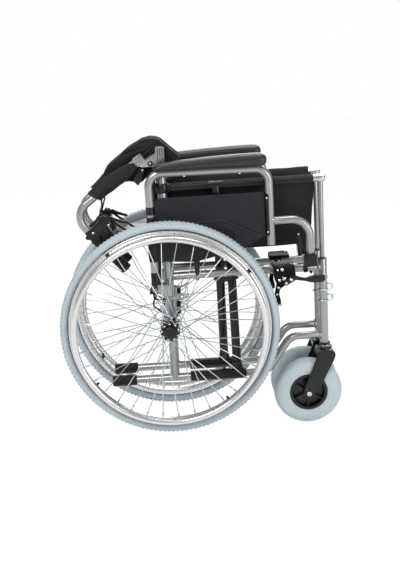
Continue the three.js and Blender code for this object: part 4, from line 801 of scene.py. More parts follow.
def armrest_pad(word):
    """Skinned foam pad: soft square rings carried along the tube, from a slim rear end to a full front.

    Stations crowd towards the ends, where the rings shrink by the root of one minus a high power of their
    distance from the middle. The crest follows a curve of chosen heights, and the base follows the tube.
    """
    rear, length, middle_out, seat_radius = -18, 305, 40, 11.3
    share = 0.5 - 0.5 * np.cos(np.linspace(0, math.pi, 72))
    along = rear + length * share
    end = np.clip(1 - np.abs(2 * share - 1) ** 22, 0.004, 1) ** 0.5
    crest = np.interp(along, [rear, 0, 15, 60, 130, 210, 270, 287],
                      [453, 456.5, 459, 463, 467, 469.5, 469.5, 468])
    base = top_run(along) + 7.2
    middle = (crest + base) / 2
    height = (crest - base) / 2 * end
    width = (19.5 + 3.4 * share) * end
    angle = around(40)
    across = squared(np.cos(angle), 0.82)
    rise = squared(np.sin(angle), 0.88)
    rings = grid(along[:, None], middle_out + width[:, None] * across,
                 middle[:, None] + height[:, None] * rise)
    # hollowed where it lies on the tube, with a low ridge moulded along its outer shoulder
    off = np.abs(rings[..., 1] - ARM_OUT)
    seat = top_run(rings[..., 0]) + np.sqrt(np.maximum(seat_radius ** 2 - off ** 2, 0))
    under = (off < seat_radius) & (rings[..., 2] < middle[:, None])
    rings[..., 2] = np.where(under, np.maximum(rings[..., 2], seat), rings[..., 2])
    ridge = bump(angle, 0.95, 0.16) - 0.8 * bump(angle, 0.62, 0.14)
    rings[..., 2] += 0.7 * ridge * end[:, None]
    pad = fit(word, "arm_cushion", skin(rings), PAD_SKIN, "armrest", ("armrest_pad",), angle=0)


def skirt_guard(word):
    """Coated cloth guard stretched between the armrest's legs, with soft creases, a pocket and a strip.

    A grid fills the space between a low and a high edge. Each crease adds its depth times a hump of the
    distance from its line, and slow sine waves add a little slack.
    """
    rear, front = -31, 279
    columns, rows = 230, 136
    low_edge = ([rear, 84, 222, front], [187, 179, 210, 243])
    high_edge = ([rear, -20.8, -19.4, -16, -10, front], [299, 299, 350, 358, 362, 361])
    along = np.linspace(rear, front, columns)[:, None] + np.zeros((1, rows))
    low, high = (np.interp(along[:, 0], *edge)[:, None] for edge in (low_edge, high_edge))
    up = low + (high - low) * np.linspace(0, 1, rows)[None]

    def crease(start, end, depth, width):
        """A ridge of the given depth along a straight line, fading at its ends."""
        start, end = np.array(start, float), np.array(end, float)
        length = np.linalg.norm(end - start)
        way = (end - start) / length
        rel = np.stack([along - start[0], up - start[1]], -1)
        inside = np.clip(np.minimum(rel @ way, length - rel @ way) / 8, 0, 1)
        return depth * bump(rel @ np.array([-way[1], way[0]]), 0, width) * inside

    relief = (crease((166, 289), (262, 239), 2.2, 1.8) - crease((168, 293), (264, 243), 2.0, 2.0)
              + crease((-15, 285), (166, 290), 1.2, 2.6) - crease((60, 268), (150, 270), 1.6, 2.0)
              - crease((150, 270), (194, 252), 2.0, 2.0) + crease((150, 266), (192, 248), 1.6, 2.0)
              - crease((194, 252), (180, 236), 1.6, 2.0) + crease((255, 240), (182, 206), 1.2, 2.6))
    relief += 0.3 * np.sin(along / 31 + 0.7) * np.sin(up / 23 + 1.1) + 0.15 * np.sin(along / 13 + up / 17)
    # the hem is thicker 4 mm in from the edge, and the edge itself is thin
    edge = np.minimum(np.minimum(along - rear, front - along), np.minimum(up - low, high - up))
    half = (1.2 + 0.6 * np.clip(1 - np.abs(edge - 4) / 4, 0, 1)) * np.clip(edge / 1.5, 0.15, 1)
    guard = sheet_of(along, ARM_OUT + relief, up, half)
    panel = fit(word, "guard_panel", guard, GUARD_CLOTH, "armrest", ("skirt_guard",), angle=60)
    sleeve = channel(ARM_REAR, 11.5, 13.4, (-140, 140), (188, 299), 0.4)
    pocket = fit(word, "guard_pocket", sleeve, GUARD_CLOTH, "armrest", angle=50)
    # thin lines laid just out from the cloth along the creases paint their light and shade
    crease_line_out = ARM_OUT + 2.3
    # a lighter grey line along the crease ridges: a painted highlight
    light = tube([(-12, crease_line_out, 286), (166, crease_line_out, 291), (262, crease_line_out, 241)], 0.75, 3, 8, 0.3, 4)
    # a black line along the crease grooves: painted shade
    dark = tube([(60, crease_line_out, 266), (150, crease_line_out, 268), (195, crease_line_out, 251), (181, crease_line_out, 236)], 0.8, 3, 8, 0.3, 4)
    fit(word, "guard_painted_highlight", light, PAINTED_HIGHLIGHT, "armrest")
    fit(word, "guard_painted_shade", dark, SLEEVE, "armrest")
    strip = channel(ARM_FRONT, 11.5, 14.2, (-162, -18), (242, 357))
    fit(word, "guard_strip", strip, NYLON, "armrest")
    rivets = [screw((283.2, ARM_OUT + 11.5, rise), 2.6, 1.4) for rise in (346, 252)]
    fit(word, "guard_rivets", joined(*rivets), SCREW, "armrest")


# Seat and cross-brace
def seat_rail(word):
    """Seat rail in its cloth sleeve, its bright grooved front end, the sliding post and the rear slider."""
    lip = [(0, 8.8), (0.8, 10.3), (3.4, 10.6), (5.0, 9.6), (5.4, 7.0)]
    band = [(0, 9.6), (0.6, 11.2), (8, 11.2), (8.6, 9.6)]
    end = joined(tube([(412, 0, SEAT_RAIL), (446, 0, SEAT_RAIL)], 9.6, edge=1.4),
                 turned(lip, (441.6, 0, SEAT_RAIL), AHEAD), turned(band, (426, 0, SEAT_RAIL), AHEAD))
    fit(word, "rail_end", end, RAIL, "rail", ("seat_rail",))
    core = tube([(19, 0, SEAT_RAIL), (430, 0, SEAT_RAIL)], 8.6)
    post = tube([(FRONT_POST, 0, 140), (FRONT_POST, 0, SEAT_RAIL)], 7.0)
    fit(word, "rail_post", joined(core, post), FRAME_PAINT, "rail")
    ring = [(0, 13.2), (0, 16.8), (1.5, 17.9), (24.5, 17.9), (26, 16.8), (26, 13.2)]
    neck = [(0, 11.8), (0.8, 12.6), (9, 12.2), (10, 11.0)]
    slider = joined(turned(ring, (REAR_POST, 0, SEAT_RAIL - 13), UP, 40),
                    turned(neck, (17, 0, SEAT_RAIL), AHEAD))
    fit(word, "rail_slider", slider, NYLON, "rail")
    button = [(0, 3.4), (0.4, 6.4), (2.6, 6.8), (3.4, 6.0), (3.4, 4.4), (2.2, 4.2), (2.0, 0.3)]
    knob = joined(turned(button, (144, 10.4, SEAT_RAIL - 6), OUT, 28),
                  turned([(0, 4.0), (5, 4.0), (6, 3.0)], (144, 6, SEAT_RAIL - 11), (0, 0.3, -1), 20))
    fit(word, "rail_knob", knob, NYLON, "rail")


def seat_cloth(word):
    """Half of the folded seat: a panel of cloth that hangs in from the rail, its folds running down.

    A grid falls from the rail to the hem and leans as the brace's arm does. Two sine waves make the folds,
    which fade at the top, where the cloth turns up against the rail.
    """
    columns, rows = 100, 44
    rear, top, hem, hem_fall = 28, 389, 193, 194
    fall = np.linspace(0, 1, rows)[None, :]
    front = np.interp(SEAT_RAIL - hem_fall * fall, [191, 220, 245, 290, 353, 385],
                      [394, 407, 412, 414, 420, 418])
    along = rear + (front - rear) * np.linspace(0, 1, columns)[:, None]
    slope = HALF_SPACING / ((SEAT_RAIL - LOWER_TUBE) / 2)
    up = top + (hem + 2 * np.sin(along / 60) - top) * fall
    lean = (up - BRACE_MIDDLE) * slope - 15.7
    # the cloth turns up against the rail over its top tenth
    near_rail = np.clip((up - 365) / 22, 0, 1) ** 2
    folds = np.minimum(1.3 * np.sin(along / 27 + 2.2 * fall) * np.sin(fall * math.pi)
                       + 0.8 * np.sin(along / 11.5 - 3 * fall) * fall, 1.2)
    # the lower hems lap when the seat lies open, the right half's over the left half's
    lap = 1.9 if word == "left" else 0.0
    least = 0.9 + lap * np.clip((fall - 0.84) / 0.06, 0, 1)
    hang = (lean + folds) * (1 - near_rail) + (HALF_SPACING - 10.6) * near_rail
    out = np.maximum(hang, least) - HALF_SPACING
    cloth = sheet_of(along, out, up, 0.8)
    panel = fit(word, "seat_sling", cloth, CLOTH, None, ("seat_cloth",), angle=60)
    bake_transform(panel)
    rail_sleeve(word)


def rail_sleeve(word):
    """The seat cloth's sleeve: rippled rings round the rail, with a fold on top and two painted highlight
    lines.
    """
    # the cloth stands up in a loose fold on the left rail, as in the photograph
    loose = 8.0 if word == "left" else 0.8
    reach = 10.5
    along = np.linspace(20, 414, 110)[:, None]
    angle = around(44)
    radius = reach + 0.3 * np.sin(along / 9.0) * np.sin(angle * 3 + 0.6) + 0.2 * np.cos(angle * 2)
    fold = loose * np.clip(np.sin(angle), 0, 1) ** 3 * (1 + 0.12 * np.sin(along / 31))
    rings = grid(along, radius * np.cos(angle), SEAT_RAIL + radius * np.sin(angle) + fold)
    fit(word, "rail_sleeve", skin(rings), CLOTH, "rail", angle=50)
    # two thin raised lines in a lighter grey: painted highlights where the round sleeve catches the light
    highlight_welts = []
    for rise in (5.0, -5.6):
        out = math.sqrt(reach ** 2 - rise ** 2)
        line = [(24, out, SEAT_RAIL + rise), (412, out, SEAT_RAIL + rise)]
        highlight_welts.append(tube(line, 0.7, sides=8, edge=0.3))
    fit(word, "sleeve_highlight_welts", joined(*highlight_welts), PAINTED_HIGHLIGHT, "rail")


def cross_arm(word):
    """Cross-brace arm: black tube, long sleeve on the lower tube, eye on the far rail and pivot collar."""
    along = BRACE_ALONG[word]
    span = -2 * HALF_SPACING
    towards = BACK if word == "right" else AHEAD
    sleeve = [(0, 11.9), (0.8, 15.4), (along - 23, 15.9), (along - 22, 11.9)]
    eye = [(0, 10.2), (0.6, 11.0), (39.4, 11.0), (40, 10.2)]
    collar = [(0, 13.0), (12, 14.4), (16.0, 14.4), (16.2, 13)]
    shoe = [(along - 16, -150), (along + 16, -150), (along + 12, -128), (along - 12, -128)]
    body = joined(tube([(along, 0, LOWER_TUBE), (along, span, SEAT_RAIL)], UPRIGHT_RADIUS, edge=0.8),
                  turned(sleeve, (47, 0, LOWER_TUBE), AHEAD),
                  turned(eye, (along - 20, span, SEAT_RAIL), AHEAD),
                  turned(collar, (along, -HALF_SPACING, BRACE_MIDDLE), towards), plate(shoe, -11, 8, 1.0))
    fit(word, "cross_tube", body, BLACK_PAINT, "arm", ("cross_arm",))
    if word == "right":
        ends = [turned([(0, 9), (5, 9), (5.6, 7)], (place, -HALF_SPACING, BRACE_MIDDLE), way, 6)
                for place, way in ((194.4, AHEAD), (136.2, BACK))]
        fit(word, "cross_bolt", joined(*ends), BLACK_PAINT, "arm")


# Back
def back_cane(word):
    """Laid-down cane: bent tube, the ridged aluminium lug at its root and its black release lever."""
    tip = on_grip([(206, 0, 0)])[0]
    cane = tube([(REAR_POST, 0, 462), CANE_CORNER, tip], TUBE_RADIUS, 47, 32, 1.4, 18)
    fit(word, "cane_tube", cane, FRAME_PAINT, "cane", ("back_cane",), on_cane)
    nose = [(-22, 463.5), (-31, 459), (-31, 451), (-22, 446.8)]
    outline = [(-10, 460), (14, 460), (17, 484), (9, 490), (-3, 486), (-10, 485), *nose]
    beak = [(-10, 460), (6, 461), (2, 464), (-10, 466), *nose]
    ridges = [plate([(along, 466), (along + 3.4, 464), (along + 3.4, 487), (along, 487)], -12.7, 12.7, 0.7)
              for along in (-9, -2.4, 4.2, 10.8)]
    lug = joined(plate(outline, -10.2, 10.2, 1.2, 2.0), plate(beak, -12.6, 12.6, 1.2, 1.5), *ridges)
    fit(word, "cane_lug", lug, CASTING, "cane", place=on_cane)
    release = plate([(-13, 486), (-30, 522), (-50, 520), (-42, 500), (-25, 476)], -8, 8, 1.6, 5)
    fit(word, "back_release", release, NYLON, "cane", place=on_cane)
    fit(word, "release_screw", screw((-24, 8, 483), 3.0, 1.8), SCREW, "cane", place=on_cane)


def push_grip(word):
    """Ribbed rubber grip on the cane's end and the moulded body of the hand brake clamped beside it."""
    crest, groove = 16, 14.6
    ribs = [(0, 11.4), (0, 15.6), (1.2, crest)]
    for start in np.arange(4, 108, 8.5):
        ribs += [(start, crest), (start + 1.2, groove), (start + 4.2, groove), (start + 5.4, crest)]
    ribs += [(113, crest), (118, 15.2), (119.6, 12.5), (120, 8)]
    fit(word, "grip_sleeve", turned(ribs, (92, 0, 0), AHEAD, 40), RUBBER, "cane", ("push_grip",),
        on_handle)
    outline = [(58, -9), (66, -10), (67, -17), (75, -18), (81, -11), (87, -12), (93, -16), (96, -10),
               (94, 12), (91, 22), (91, 52), (86, 60), (65, 67), (57, 61), (60, 40), (61, 14), (59.5, 4)]
    panel = [(65, 20), (85, 26), (85, 52), (66, 59)]
    fins = [plate([(95 + i * 5, 19), (98 + i * 5, 19), (99 + i * 5, 49 - i), (96 + i * 5, 49 - i)],
                  -9.6, 9.6, 0.7) for i in range(5)]
    boss = joined(plate([(88, 18.6), (117, 18.6), (119, 40), (112, 47), (88, 50)], -8.4, 8.4, 2.0, 4),
                  *fins, turned([(0, 7), (1, 9), (24, 9), (25, 7)], (100, -12.5, 36), OUT, 32))
    slots = [block((62 + i * 8, 64.6 + i * 8), (-13.3, 13.3), (-4 - i, 8), 0.6) for i in range(4)]
    body = joined(plate(outline, -12.4, 12.4, 2.2, 4, 3), plate(panel, 12.0, 13.9, 0.8, 4),
                  plate(panel, -13.9, -12.0, 0.8, 4), boss, *slots, block((50, 60), (-5, 5), (43, 53), 1.2))
    fit(word, "brake_housing", body, NYLON, "cane", place=on_handle)
    heads = [screw((along, way * 12.5, below), radius, 1.9, way) for way in (1, -1)
             for along, below, radius in ((73, 9, 3.4), (87, 55, 3.2))]
    fit(word, "housing_screws", joined(*heads), SCREW, "cane", place=on_handle)


def hand_lever(word):
    """Hand brake lever: oval rings along a slim blade, a locking tab below it and the cable's anchor.

    The blade is thickest at its root and swells again at its tip, and it narrows by a sine at mid length.
    """
    share = np.linspace(0, 1, 40)
    along = 61 + 139 * share
    below = np.interp(share, [0, 0.1, 0.45, 0.8, 1], [63, 65.5, 74.5, 83.5, 87.5])
    half = 3.5 + 2.8 * bump(share, 0, 0.1) + 0.9 * share ** 8
    wide = 5.4 - 1.0 * np.sin(share * math.pi)
    half[[0, -1]] *= 0.5
    wide[[0, -1]] *= 0.6
    angle = around(20)
    rings = grid(along[:, None], wide[:, None] * np.cos(angle),
                 below[:, None] + half[:, None] * np.sin(angle))
    tab = [(72, 68), (92, 72), (106, 81), (118, 88), (114, 94), (100, 86), (84, 78), (72, 74)]
    blade = joined(skin(rings), plate(tab, -3.4, 3.4, 1.2, 3))
    fit(word, "lever_blade", blade, NYLON, "hand_lever", ("hand_brake_lever",), on_handle)
    ring = arc((113, 68), 5.2, 0, 360 * 0.92, 24)
    anchor = joined(tube(grid(ring[:, 0], 0, ring[:, 1]), 1.8, 0.1, 12, 0.5, 1),
                    screw((66, 5.4, 63), 3.2, 1.8))
    fit(word, "cable_anchor", anchor, SCREW, "hand_lever", place=on_handle)


def upper_cable(word):
    """Brake cable from the hand brake into the back cloth's sleeve and down the cane."""
    start = on_grip([(55.7, 0, 48)])[0]
    route = [start, (-27, 0, 631), (-10.6, 0, 619), (-10.6, 0, SLEEVE_LOW)]
    fit(word, "cable_upper", tube(route, CABLE_RADIUS, 9, 14, 0.4, 8), SLEEVE, "cane", ("upper_cable",),
        on_cane)


def back_cloth(word):
    """Half of the laid-down back: a hump of padded cloth behind the hinge, its folds running to the hinge.

    An outline, evenly spaced by its running length, shrinks towards the hump's middle over both faces, and
    keeps its size across the width but for two pleats. The folds are waves of the bearing from the place
    where the cloth gathers, and grow with the distance from it.
    """
    key = [(-158, 382), (-142, 386), (-117, 397), (-93, 406), (-75, 405), (-56, 397), (-37, 413), (0, 444),
           (43, 436), (56, 450), (58, 461), (40, 480), (20, 499), (6, 513), (-17, 520), (-41, 516),
           (-73, 500), (-106, 477), (-140, 450), (-149, 440), (-160, 415), (-168, 396)]
    outline = rounded(key, 14, 4)
    closed = np.concatenate([outline, outline[:1]])
    run = np.concatenate([[0], np.cumsum(np.linalg.norm(np.diff(closed, axis=0), axis=1))])
    even = np.linspace(0, run[-1], 161)[:-1]
    loop = np.stack([np.interp(even, run, closed[:, i]) for i in (0, 1)], 1)
    middle = np.array([-70.0, 448.0])
    gather = np.array([6.0, 508.0])
    # from the centre of the outer face over its rim, across the width with two pleats, to the inner face
    size = np.concatenate([np.linspace(0.02, 0.94, 24), [0.975], np.ones(20), [0.97, 0.9, 0.6, 0.3, 0.02]])
    out = np.concatenate([np.full(25, -16.2), np.linspace(-18, -45, 20), [-46.6, -47.4, -47.6, -47.6, -47.6]])
    across = np.concatenate([np.zeros(25), np.linspace(0, 1, 20), np.ones(5)])
    pleat = 0.03 * bump(out, -33, 3.0) + 0.02 * bump(out, -41, 2.5)
    away = middle + (loop - middle)[None] * size[:, None, None] - gather
    bearing = np.arctan2(away[..., 1], away[..., 0])
    far = np.clip(np.linalg.norm(away, axis=-1) / 70, 0, 1)
    fold = (0.65 * np.sin(bearing * 25 + 0.8) + 0.35 * np.sin(bearing * 43 + 2.0)) * far
    drawn_in = (size * (1 - pleat))[:, None, None]
    reach = middle + (loop - middle)[None] * drawn_in * (1 + 0.016 * fold[..., None])
    face = 1 - across[:, None]
    swell = np.clip((-82 - reach[..., 0]) / 30, 0, 1) * 2.2 * (1 - size[:, None] ** 6)
    place = out[:, None] + face * (swell - 6.0 * (0.5 - 0.5 * fold) * (1 - size[:, None] ** 10))
    rings = grid(reach[..., 0], place, reach[..., 1])
    nodes = ("back_cloth_outer", "back_cloth_inner")
    back = fit(word, "back_panel", skin(rings), CLOTH, None, nodes, angle=70)
    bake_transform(back)
    cane_sleeve(word)


def cane_sleeve(word):
    """The sleeve sewn round the cane: rings full behind it and drawn in at the lug, with a slanting hem.

    Chosen distances ahead of, behind and beside the cane follow its height. Sine waves of the bearing and
    the height wrinkle them, a hump thickens the hem, and a lining turns back inside the open end.
    """
    up = np.linspace(SLEEVE_LOW, SLEEVE_HIGH, 66)[:, None]
    angle = around(44)
    ahead = np.interp(up, [SLEEVE_LOW, 497, 520, 556, 590, SLEEVE_HIGH], [12.4, 13, 20, 26, 28, 21])
    behind = np.interp(up, [SLEEVE_LOW, 510, 541, 566, 599, SLEEVE_HIGH], [-12.5, -17, -20, -17, -14.5, -14])
    broad = np.interp(up, [SLEEVE_LOW, 497, 502], [12.0, 12.2, 13.4])
    wrinkle = 1 + 0.025 * np.sin(up / 9 + 2.5 * np.sin(angle)) + 0.06 * np.sin(angle * 4 + up / 30)
    hem = 1 + 0.05 * bump(up, 628, 3.0)
    along = (ahead + behind) / 2 + (ahead - behind) / 2 * np.cos(angle) * wrinkle * hem
    height = up + 7 * np.cos(angle) * np.clip((up - 590) / 42, 0, 1)
    rings = grid(along, broad * np.sin(angle) * wrinkle * hem, height)
    core = np.array([REAR_POST - 2, 0.0, 0.0])
    inner = (rings[-1] - core) * [0.9, 0.9, 1] + core
    lining = grid(REAR_POST - 3 + 14.0 * np.cos(angle), 11.6 * np.sin(angle), inner[:, 2] - 12)
    rings = np.concatenate([rings, inner[None], lining[None]])
    fit(word, "cane_sleeve", skin(rings), CLOTH, "cane", place=on_cane, angle=60)


# Wheels
def tread(count, radius, out, lean, start):
    """Shoulder knobs round the tyre: tapered cubes that lean outward, set evenly on a circle.

    The start turns them on by a share of the step between two knobs.
    """
    corner = np.array([(x, y, z) for z in (-1, 1) for x, y in ((-1, -1), (1, -1), (1, 1), (-1, 1))], float)
    cube = np.array([(0, 3, 2, 1), (4, 5, 6, 7), (0, 1, 5, 4), (1, 2, 6, 5), (2, 3, 7, 6), (3, 0, 4, 7)])
    local = corner * [3.6, 3.4, 2.0]
    local[:, :2] *= np.where(corner[:, 2:] > 0, 0.82, 1.0)
    reach = radius + local[:, 2] * math.cos(lean) - local[:, 1] * math.sin(lean)
    shift = out + local[:, 1] * math.cos(lean) + local[:, 2] * math.sin(lean)
    angle = (np.arange(count) + start)[:, None] * TURN / count
    points = grid(np.cos(angle) * reach - np.sin(angle) * local[:, 0], shift,
                  np.sin(angle) * reach + np.cos(angle) * local[:, 0])
    faces = (cube[None] + (np.arange(count) * len(corner))[:, None, None]).reshape(-1, 4)
    return points.reshape(-1, 3), [tuple(f) for f in faces.tolist()]


def laced_spokes(count, rim_seat, inner, outer):
    """Spokes laced from both flanges to the rim, each with its nipple at the rim and its head at the flange.

    Each runs straight from a flange hole, a fixed angle ahead of or behind its rim hole, so that they cross.
    A flange is its (side, hole radius, lowest place of a head).
    """
    depth, crossing = 3.4, math.radians(60)
    wires = []
    for i in range(count):
        rim_angle = TURN * (i + 0.5) / count
        way, hole, low = inner if i % 2 == 0 else outer
        lean = -1 if (i // 2) % 2 == 0 else 1
        hub_angle = rim_angle - lean * crossing
        face = low + depth * (0.1 if lean < 0 else 0.9)
        a = np.array([hole * math.cos(hub_angle), face, hole * math.sin(hub_angle)])
        b = np.array([rim_seat * math.cos(rim_angle), way * 3.3 + lean * 1.65,
                      rim_seat * math.sin(rim_angle)])
        d = (b - a) / np.linalg.norm(b - a)
        wires += [tube([a, b], 1.35, sides=8, edge=0.2),
                  turned([(0, 1.4), (0.5, 2.1), (11, 2.1), (12, 2.8)], b - d * 13, d, 10),
                  turned([(0, 3.2), (1.8, 3.0), (2.8, 1.6)], a, (0, lean, 0), 12)]
    return joined(*wires)


def rear_wheel(word):
    """Rear wheel: tyre with shoulder knobs, hollow rim, handrim on four lugs, laced spokes and a moulded hub.

    The tyre's section is a soft square, narrowed and cut off flat where it sits in the rim.
    """
    sides, knob_count, spoke_count, lug_count = 180, 150, 36, 4
    section = around(48)
    radial = 292.9 + 10.9 * squared(np.sin(section), 0.85)
    across = 16.3 * squared(np.cos(section), 0.9)
    across = np.where(radial < 284, across * 0.72, across)
    radial = np.maximum(radial, 281.5)
    knobs = [tread(knob_count, 300.6, way * 12.4, way * math.radians(36), start)
             for way, start in ((1, 0), (-1, 0.5))]
    tyre = joined(hoop(np.stack([radial, across], 1), sides), *knobs)
    fit(word, "tyre_round", tyre, TYRE, "wheel", ("tyre",), about_axle)
    rim = [(264.6, -5.6), (268, -11), (279.8, -11.4), (280.9, -9.4), (280.9, 9.4), (279.8, 11.4),
           (277.0, 11.4), (275.6, 10.2), (272.6, 10.2), (271.2, 11.2), (268, 11.2), (264.6, 5.6)]
    fit(word, "wheel_rim", hoop(rounded(rim, 1.2, 3), sides), ALLOY, "wheel", ("rim",), about_axle)
    circle = around(28)
    bar_radius, bar_out, bar_thick = 263, 36, 8.4
    bar = np.stack([bar_radius + bar_thick * np.cos(circle), bar_out + bar_thick * np.sin(circle)], 1)
    handrim = hoop(bar, sides)
    fit(word, "hand_rim", handrim, ALLOY, "wheel", ("handrim",), about_axle)
    lugs = []
    for i in range(lug_count):
        angle = math.radians(38) + TURN * i / lug_count
        c, s = math.cos(angle), math.sin(angle)
        lugs += [tube([(271 * c, 11.6, 271 * s), (270 * c, 20, 270 * s), (264 * c, 30, 264 * s)], 4.0, 8, 16,
                      1.0, 6),
                 turned([(0, 6.0), (1.6, 6.0), (2.4, 5.2)], (271 * c, 11.3, 271 * s), OUT, 20),
                 tube([(264.8 * c, 0, 264.8 * s), (256 * c, 0, 256 * s)], 3.4, sides=16, edge=0.8)]
    fit(word, "hand_rim_lugs", joined(*lugs), NYLON, "wheel", place=about_axle)
    spokes = laced_spokes(spoke_count, 264, (-1, 24.6, -27.5), (1, 22.6, 22.6))
    fit(word, "spokes", spokes, WIRE, "wheel", place=about_axle)
    shell = [(6.7, -27.4), (28, -27.4), (28.4, -26), (28, -24.2), (17, -19), (17, 19), (26.6, 22.4),
             (27.0, 24), (26.6, 26), (6.7, 26)]
    fit(word, "hub_shell", hoop(rounded(shell, 0.8, 2), 72), NYLON, "wheel", ("hub_and_spokes",),
        about_axle)
    cap = [(6.7, 26.2), (17.6, 26.2), (17.6, 34.4), (15.6, 37.6), (11, 36.8), (6.7, 36.8)]
    fit(word, "hub_end", hoop(rounded(cap, 1.2, 3), 56), NYLON, "wheel", ("hub_cap",),
        about_axle)


def caster(word):
    """Caster: nylon fork with tapered legs and domed crown, grey tyre with a ringed shoulder, ribbed hub."""
    top = FRONT_FOOT - 8
    foot = CASTER_UP
    corners = [(367.5, foot + 10), (407, top - 24), (413, top - 8), (424, top - 2.5), (452, top - 2.5),
               (460, top - 9), (461.5, top - 20), (455, top - 37), (424, foot + 34), (402, foot)]
    # the first and last corners stay open, where the round foot joins them
    outline = np.concatenate([rounded(corners, 9, 5)[3:-3],
                              arc((CASTER_ALONG, foot - 0.5), 16.6, -35, -170, 14)])
    legs = [plate(outline, *limits, 2.0, segments=3) for limits in ((26.5, 31.8), (-31.8, -26.5))]
    rib = [(409, top - 26), (419, top - 30), (388, foot + 16), (377, foot + 16)]
    boss = [(0, 12.4), (0.6, 13.2), (5.2, 13.2), (6.0, 12.2)]
    ribs, bosses = [], []
    for way in (-1, 1):
        ribs.append(plate(rib, way * 31.2, way * 32.4, 0.5))
        bosses.append(turned(boss, (CASTER_ALONG, way * 26.6, foot), (0, way, 0), 40))
    dome = [(0, 20.4), (9, 20.9), (20, 20.6), (26, 18.4), (28.6, 14), (29, 9.8)]
    bridge = [(411, top - 5), (457, top - 5), (458, top - 28), (409, top - 28)]
    crown = joined(plate(bridge, -31.4, 31.4, 5.0, 6, 3), turned(dome, (FRONT_POST, 0, top - 29), UP, 48))
    fork = joined(*legs, *ribs, *bosses, crown)
    fit(word, "fork_body", fork, NYLON, "fork", ("caster_fork",))
    collar = turned([(0, 9.4), (7.0, 9.4)], (FRONT_POST, 0, top - 2), UP)
    bolt = [(0, 7.0), (2.8, 7.0), (3.8, 5.8), (3.8, 3.8), (2.8, 3.4), (2.6, 0.4)]
    bolts = [turned(bolt, (CASTER_ALONG, way * 32.2, foot), (0, way, 0), 24) for way in (-1, 1)]
    fit(word, "fork_bolt", joined(collar, *bolts), SCREW, "fork")
    half = [(54.2, 20.4), (56.4, 23.0), (58.8, 22.4), (61, 23.4), (66, 24.8), (75.4, 24.6), (76.6, 23.6),
            (78.0, 24.3), (84.6, 22.4), (86.0, 21.0), (87.6, 21.2), (93, 15.8), (96.8, 8.5),
            (CASTER_RADIUS, 4.0)]
    profile = [(radius, -out) for radius, out in half] + half[::-1]
    tyre = hoop(rounded(profile, 1.6, 3), 128)
    fit(word, "caster_round", tyre, TYRE, "caster", ("caster_tyre",), about_caster)
    hub = [(4.7, -20), (14, -20), (15, -5), (43, -3.4), (46, -20.4), (53.6, -20.8), (53.6, 20.8),
           (46, 20.4), (43, 3.4), (15, 5), (14, 20), (4.7, 20)]
    fins = [spun(block((12, 46.5), (-17, 17), (-1.8, 1.8), 0.7), TURN * (i + 0.5) / 6) for i in range(6)]
    disc = joined(hoop(rounded(hub, 0.9, 3), 96), *fins)
    fit(word, "caster_disc", disc, NYLON, "caster", ("caster_hub",), about_caster)


# Studio
def studio():
    """A white sweep, soft lamps all round, and the camera at the photograph's angle."""
    scene = bpy.context.scene
    scene.view_settings.view_transform = "Standard"
    white_floor(scene, 9)
    pale_world(scene)
    # each lamp as its name, its place and size in metres, and its power in watts
    lamps = (("key", (-1.6, -2.4, 2.6), 1.6, 74), ("fill", (2.2, -2.2, 1.2), 1.8, 34),
             ("top", (0.2, 0.4, 2.9), 1.8, 56), ("rim", (0.6, 2.6, 1.6), 1.6, 26))
    chair_middle = Vector((0, 0, 0.4))
    for name, place, size, power in lamps:
        lamp = bpy.data.lights.new(name, "AREA")
        lamp.size, lamp.energy = size, power
        thing = bpy.data.objects.new(name, lamp)
        scene.collection.objects.link(thing)
        aimed(thing, Vector(place), chair_middle)
    camera = bpy.data.cameras.new("camera")
    camera.lens = 57.83
    camera.sensor_width = 36
    eye = bpy.data.objects.new("camera", camera)
    scene.collection.objects.link(eye)
    scene.camera = eye
    # the camera was fitted from the rear axle, so both its places shift with it
    shift = AXLE_X / 1000
    aimed(eye, Vector((0.0235 + shift, -2.5107, 1.1204)), Vector((0.0844 + shift, 0.0, 0.4009)))


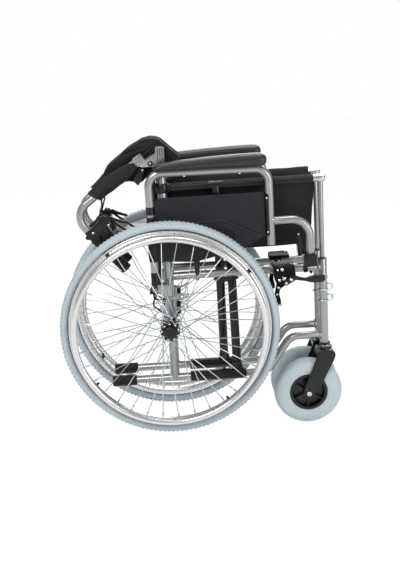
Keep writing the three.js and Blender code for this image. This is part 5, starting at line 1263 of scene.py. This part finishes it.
def white_floor(scene, half):
    """A square floor that the camera and mirrors see as plain white, and that shades as matt white."""
    mesh = bpy.data.meshes.new("floor")
    mesh.from_pydata([(-half, -half, 0), (half, -half, 0), (half, half, 0), (-half, half, 0)], [],
                     [(0, 1, 2, 3)])
    floor = bpy.data.objects.new("floor", mesh)
    scene.collection.objects.link(floor)
    material, tree, shader = begun("white_floor", "#ffffff", 0.9)
    path = add(tree, "ShaderNodeLightPath")
    seen = add(tree, "ShaderNodeMath", {"operation": "MAXIMUM"}, i0=(path, "Is Camera Ray"),
               i1=(path, "Is Glossy Ray"))
    part = add(tree, "ShaderNodeMath", {"operation": "MULTIPLY"}, i0=(seen, 0), i1=0.9)
    glow = add(tree, "ShaderNodeEmission", Color=(1, 1, 1, 1), Strength=1.06)
    mix = add(tree, "ShaderNodeMixShader", i0=(part, 0), i1=(shader, 0), i2=(glow, 0))
    tree.links.new(mix.outputs[0], tree.nodes["Material Output"].inputs["Surface"])
    mesh.materials.append(material)


def pale_world(scene):
    """Even light from all round, dimmer on the object than the white that the camera sees behind it."""
    world = bpy.data.worlds.new("studio")
    world.use_nodes = True
    scene.world = world
    tree = world.node_tree
    plain = tree.nodes["Background"]
    plain.inputs["Color"].default_value = (1, 1, 1, 1)
    path = add(tree, "ShaderNodeLightPath")
    seen = add(tree, "ShaderNodeMath", {"operation": "MAXIMUM"}, i0=(path, "Is Camera Ray"),
               i1=(path, "Is Transmission Ray"))
    level = add(tree, "ShaderNodeMapRange", Value=(seen, 0), To_Min=0.3, To_Max=1.0)
    tree.links.new(level.outputs["Result"], plain.inputs["Strength"])


def aimed(thing, spot, target):
    """Puts a lamp or camera at a spot, looking at a target."""
    thing.location = spot
    thing.rotation_mode = "QUATERNION"
    thing.rotation_quaternion = (target - spot).to_track_quat("-Z", "Y")


studio()
for word in SIDES:
    for build in (side_frame, rear_tip, seat_guide, back_hinge, lower_cable, drum_brake, armrest_socket,
                  brake_clamp, brake_lever, brake_shoe, armrest_frame, armrest_pad, skirt_guard, seat_rail,
                  seat_cloth, cross_arm, back_cane, push_grip, hand_lever, upper_cable, back_cloth,
                  rear_wheel, caster):
        build(word)
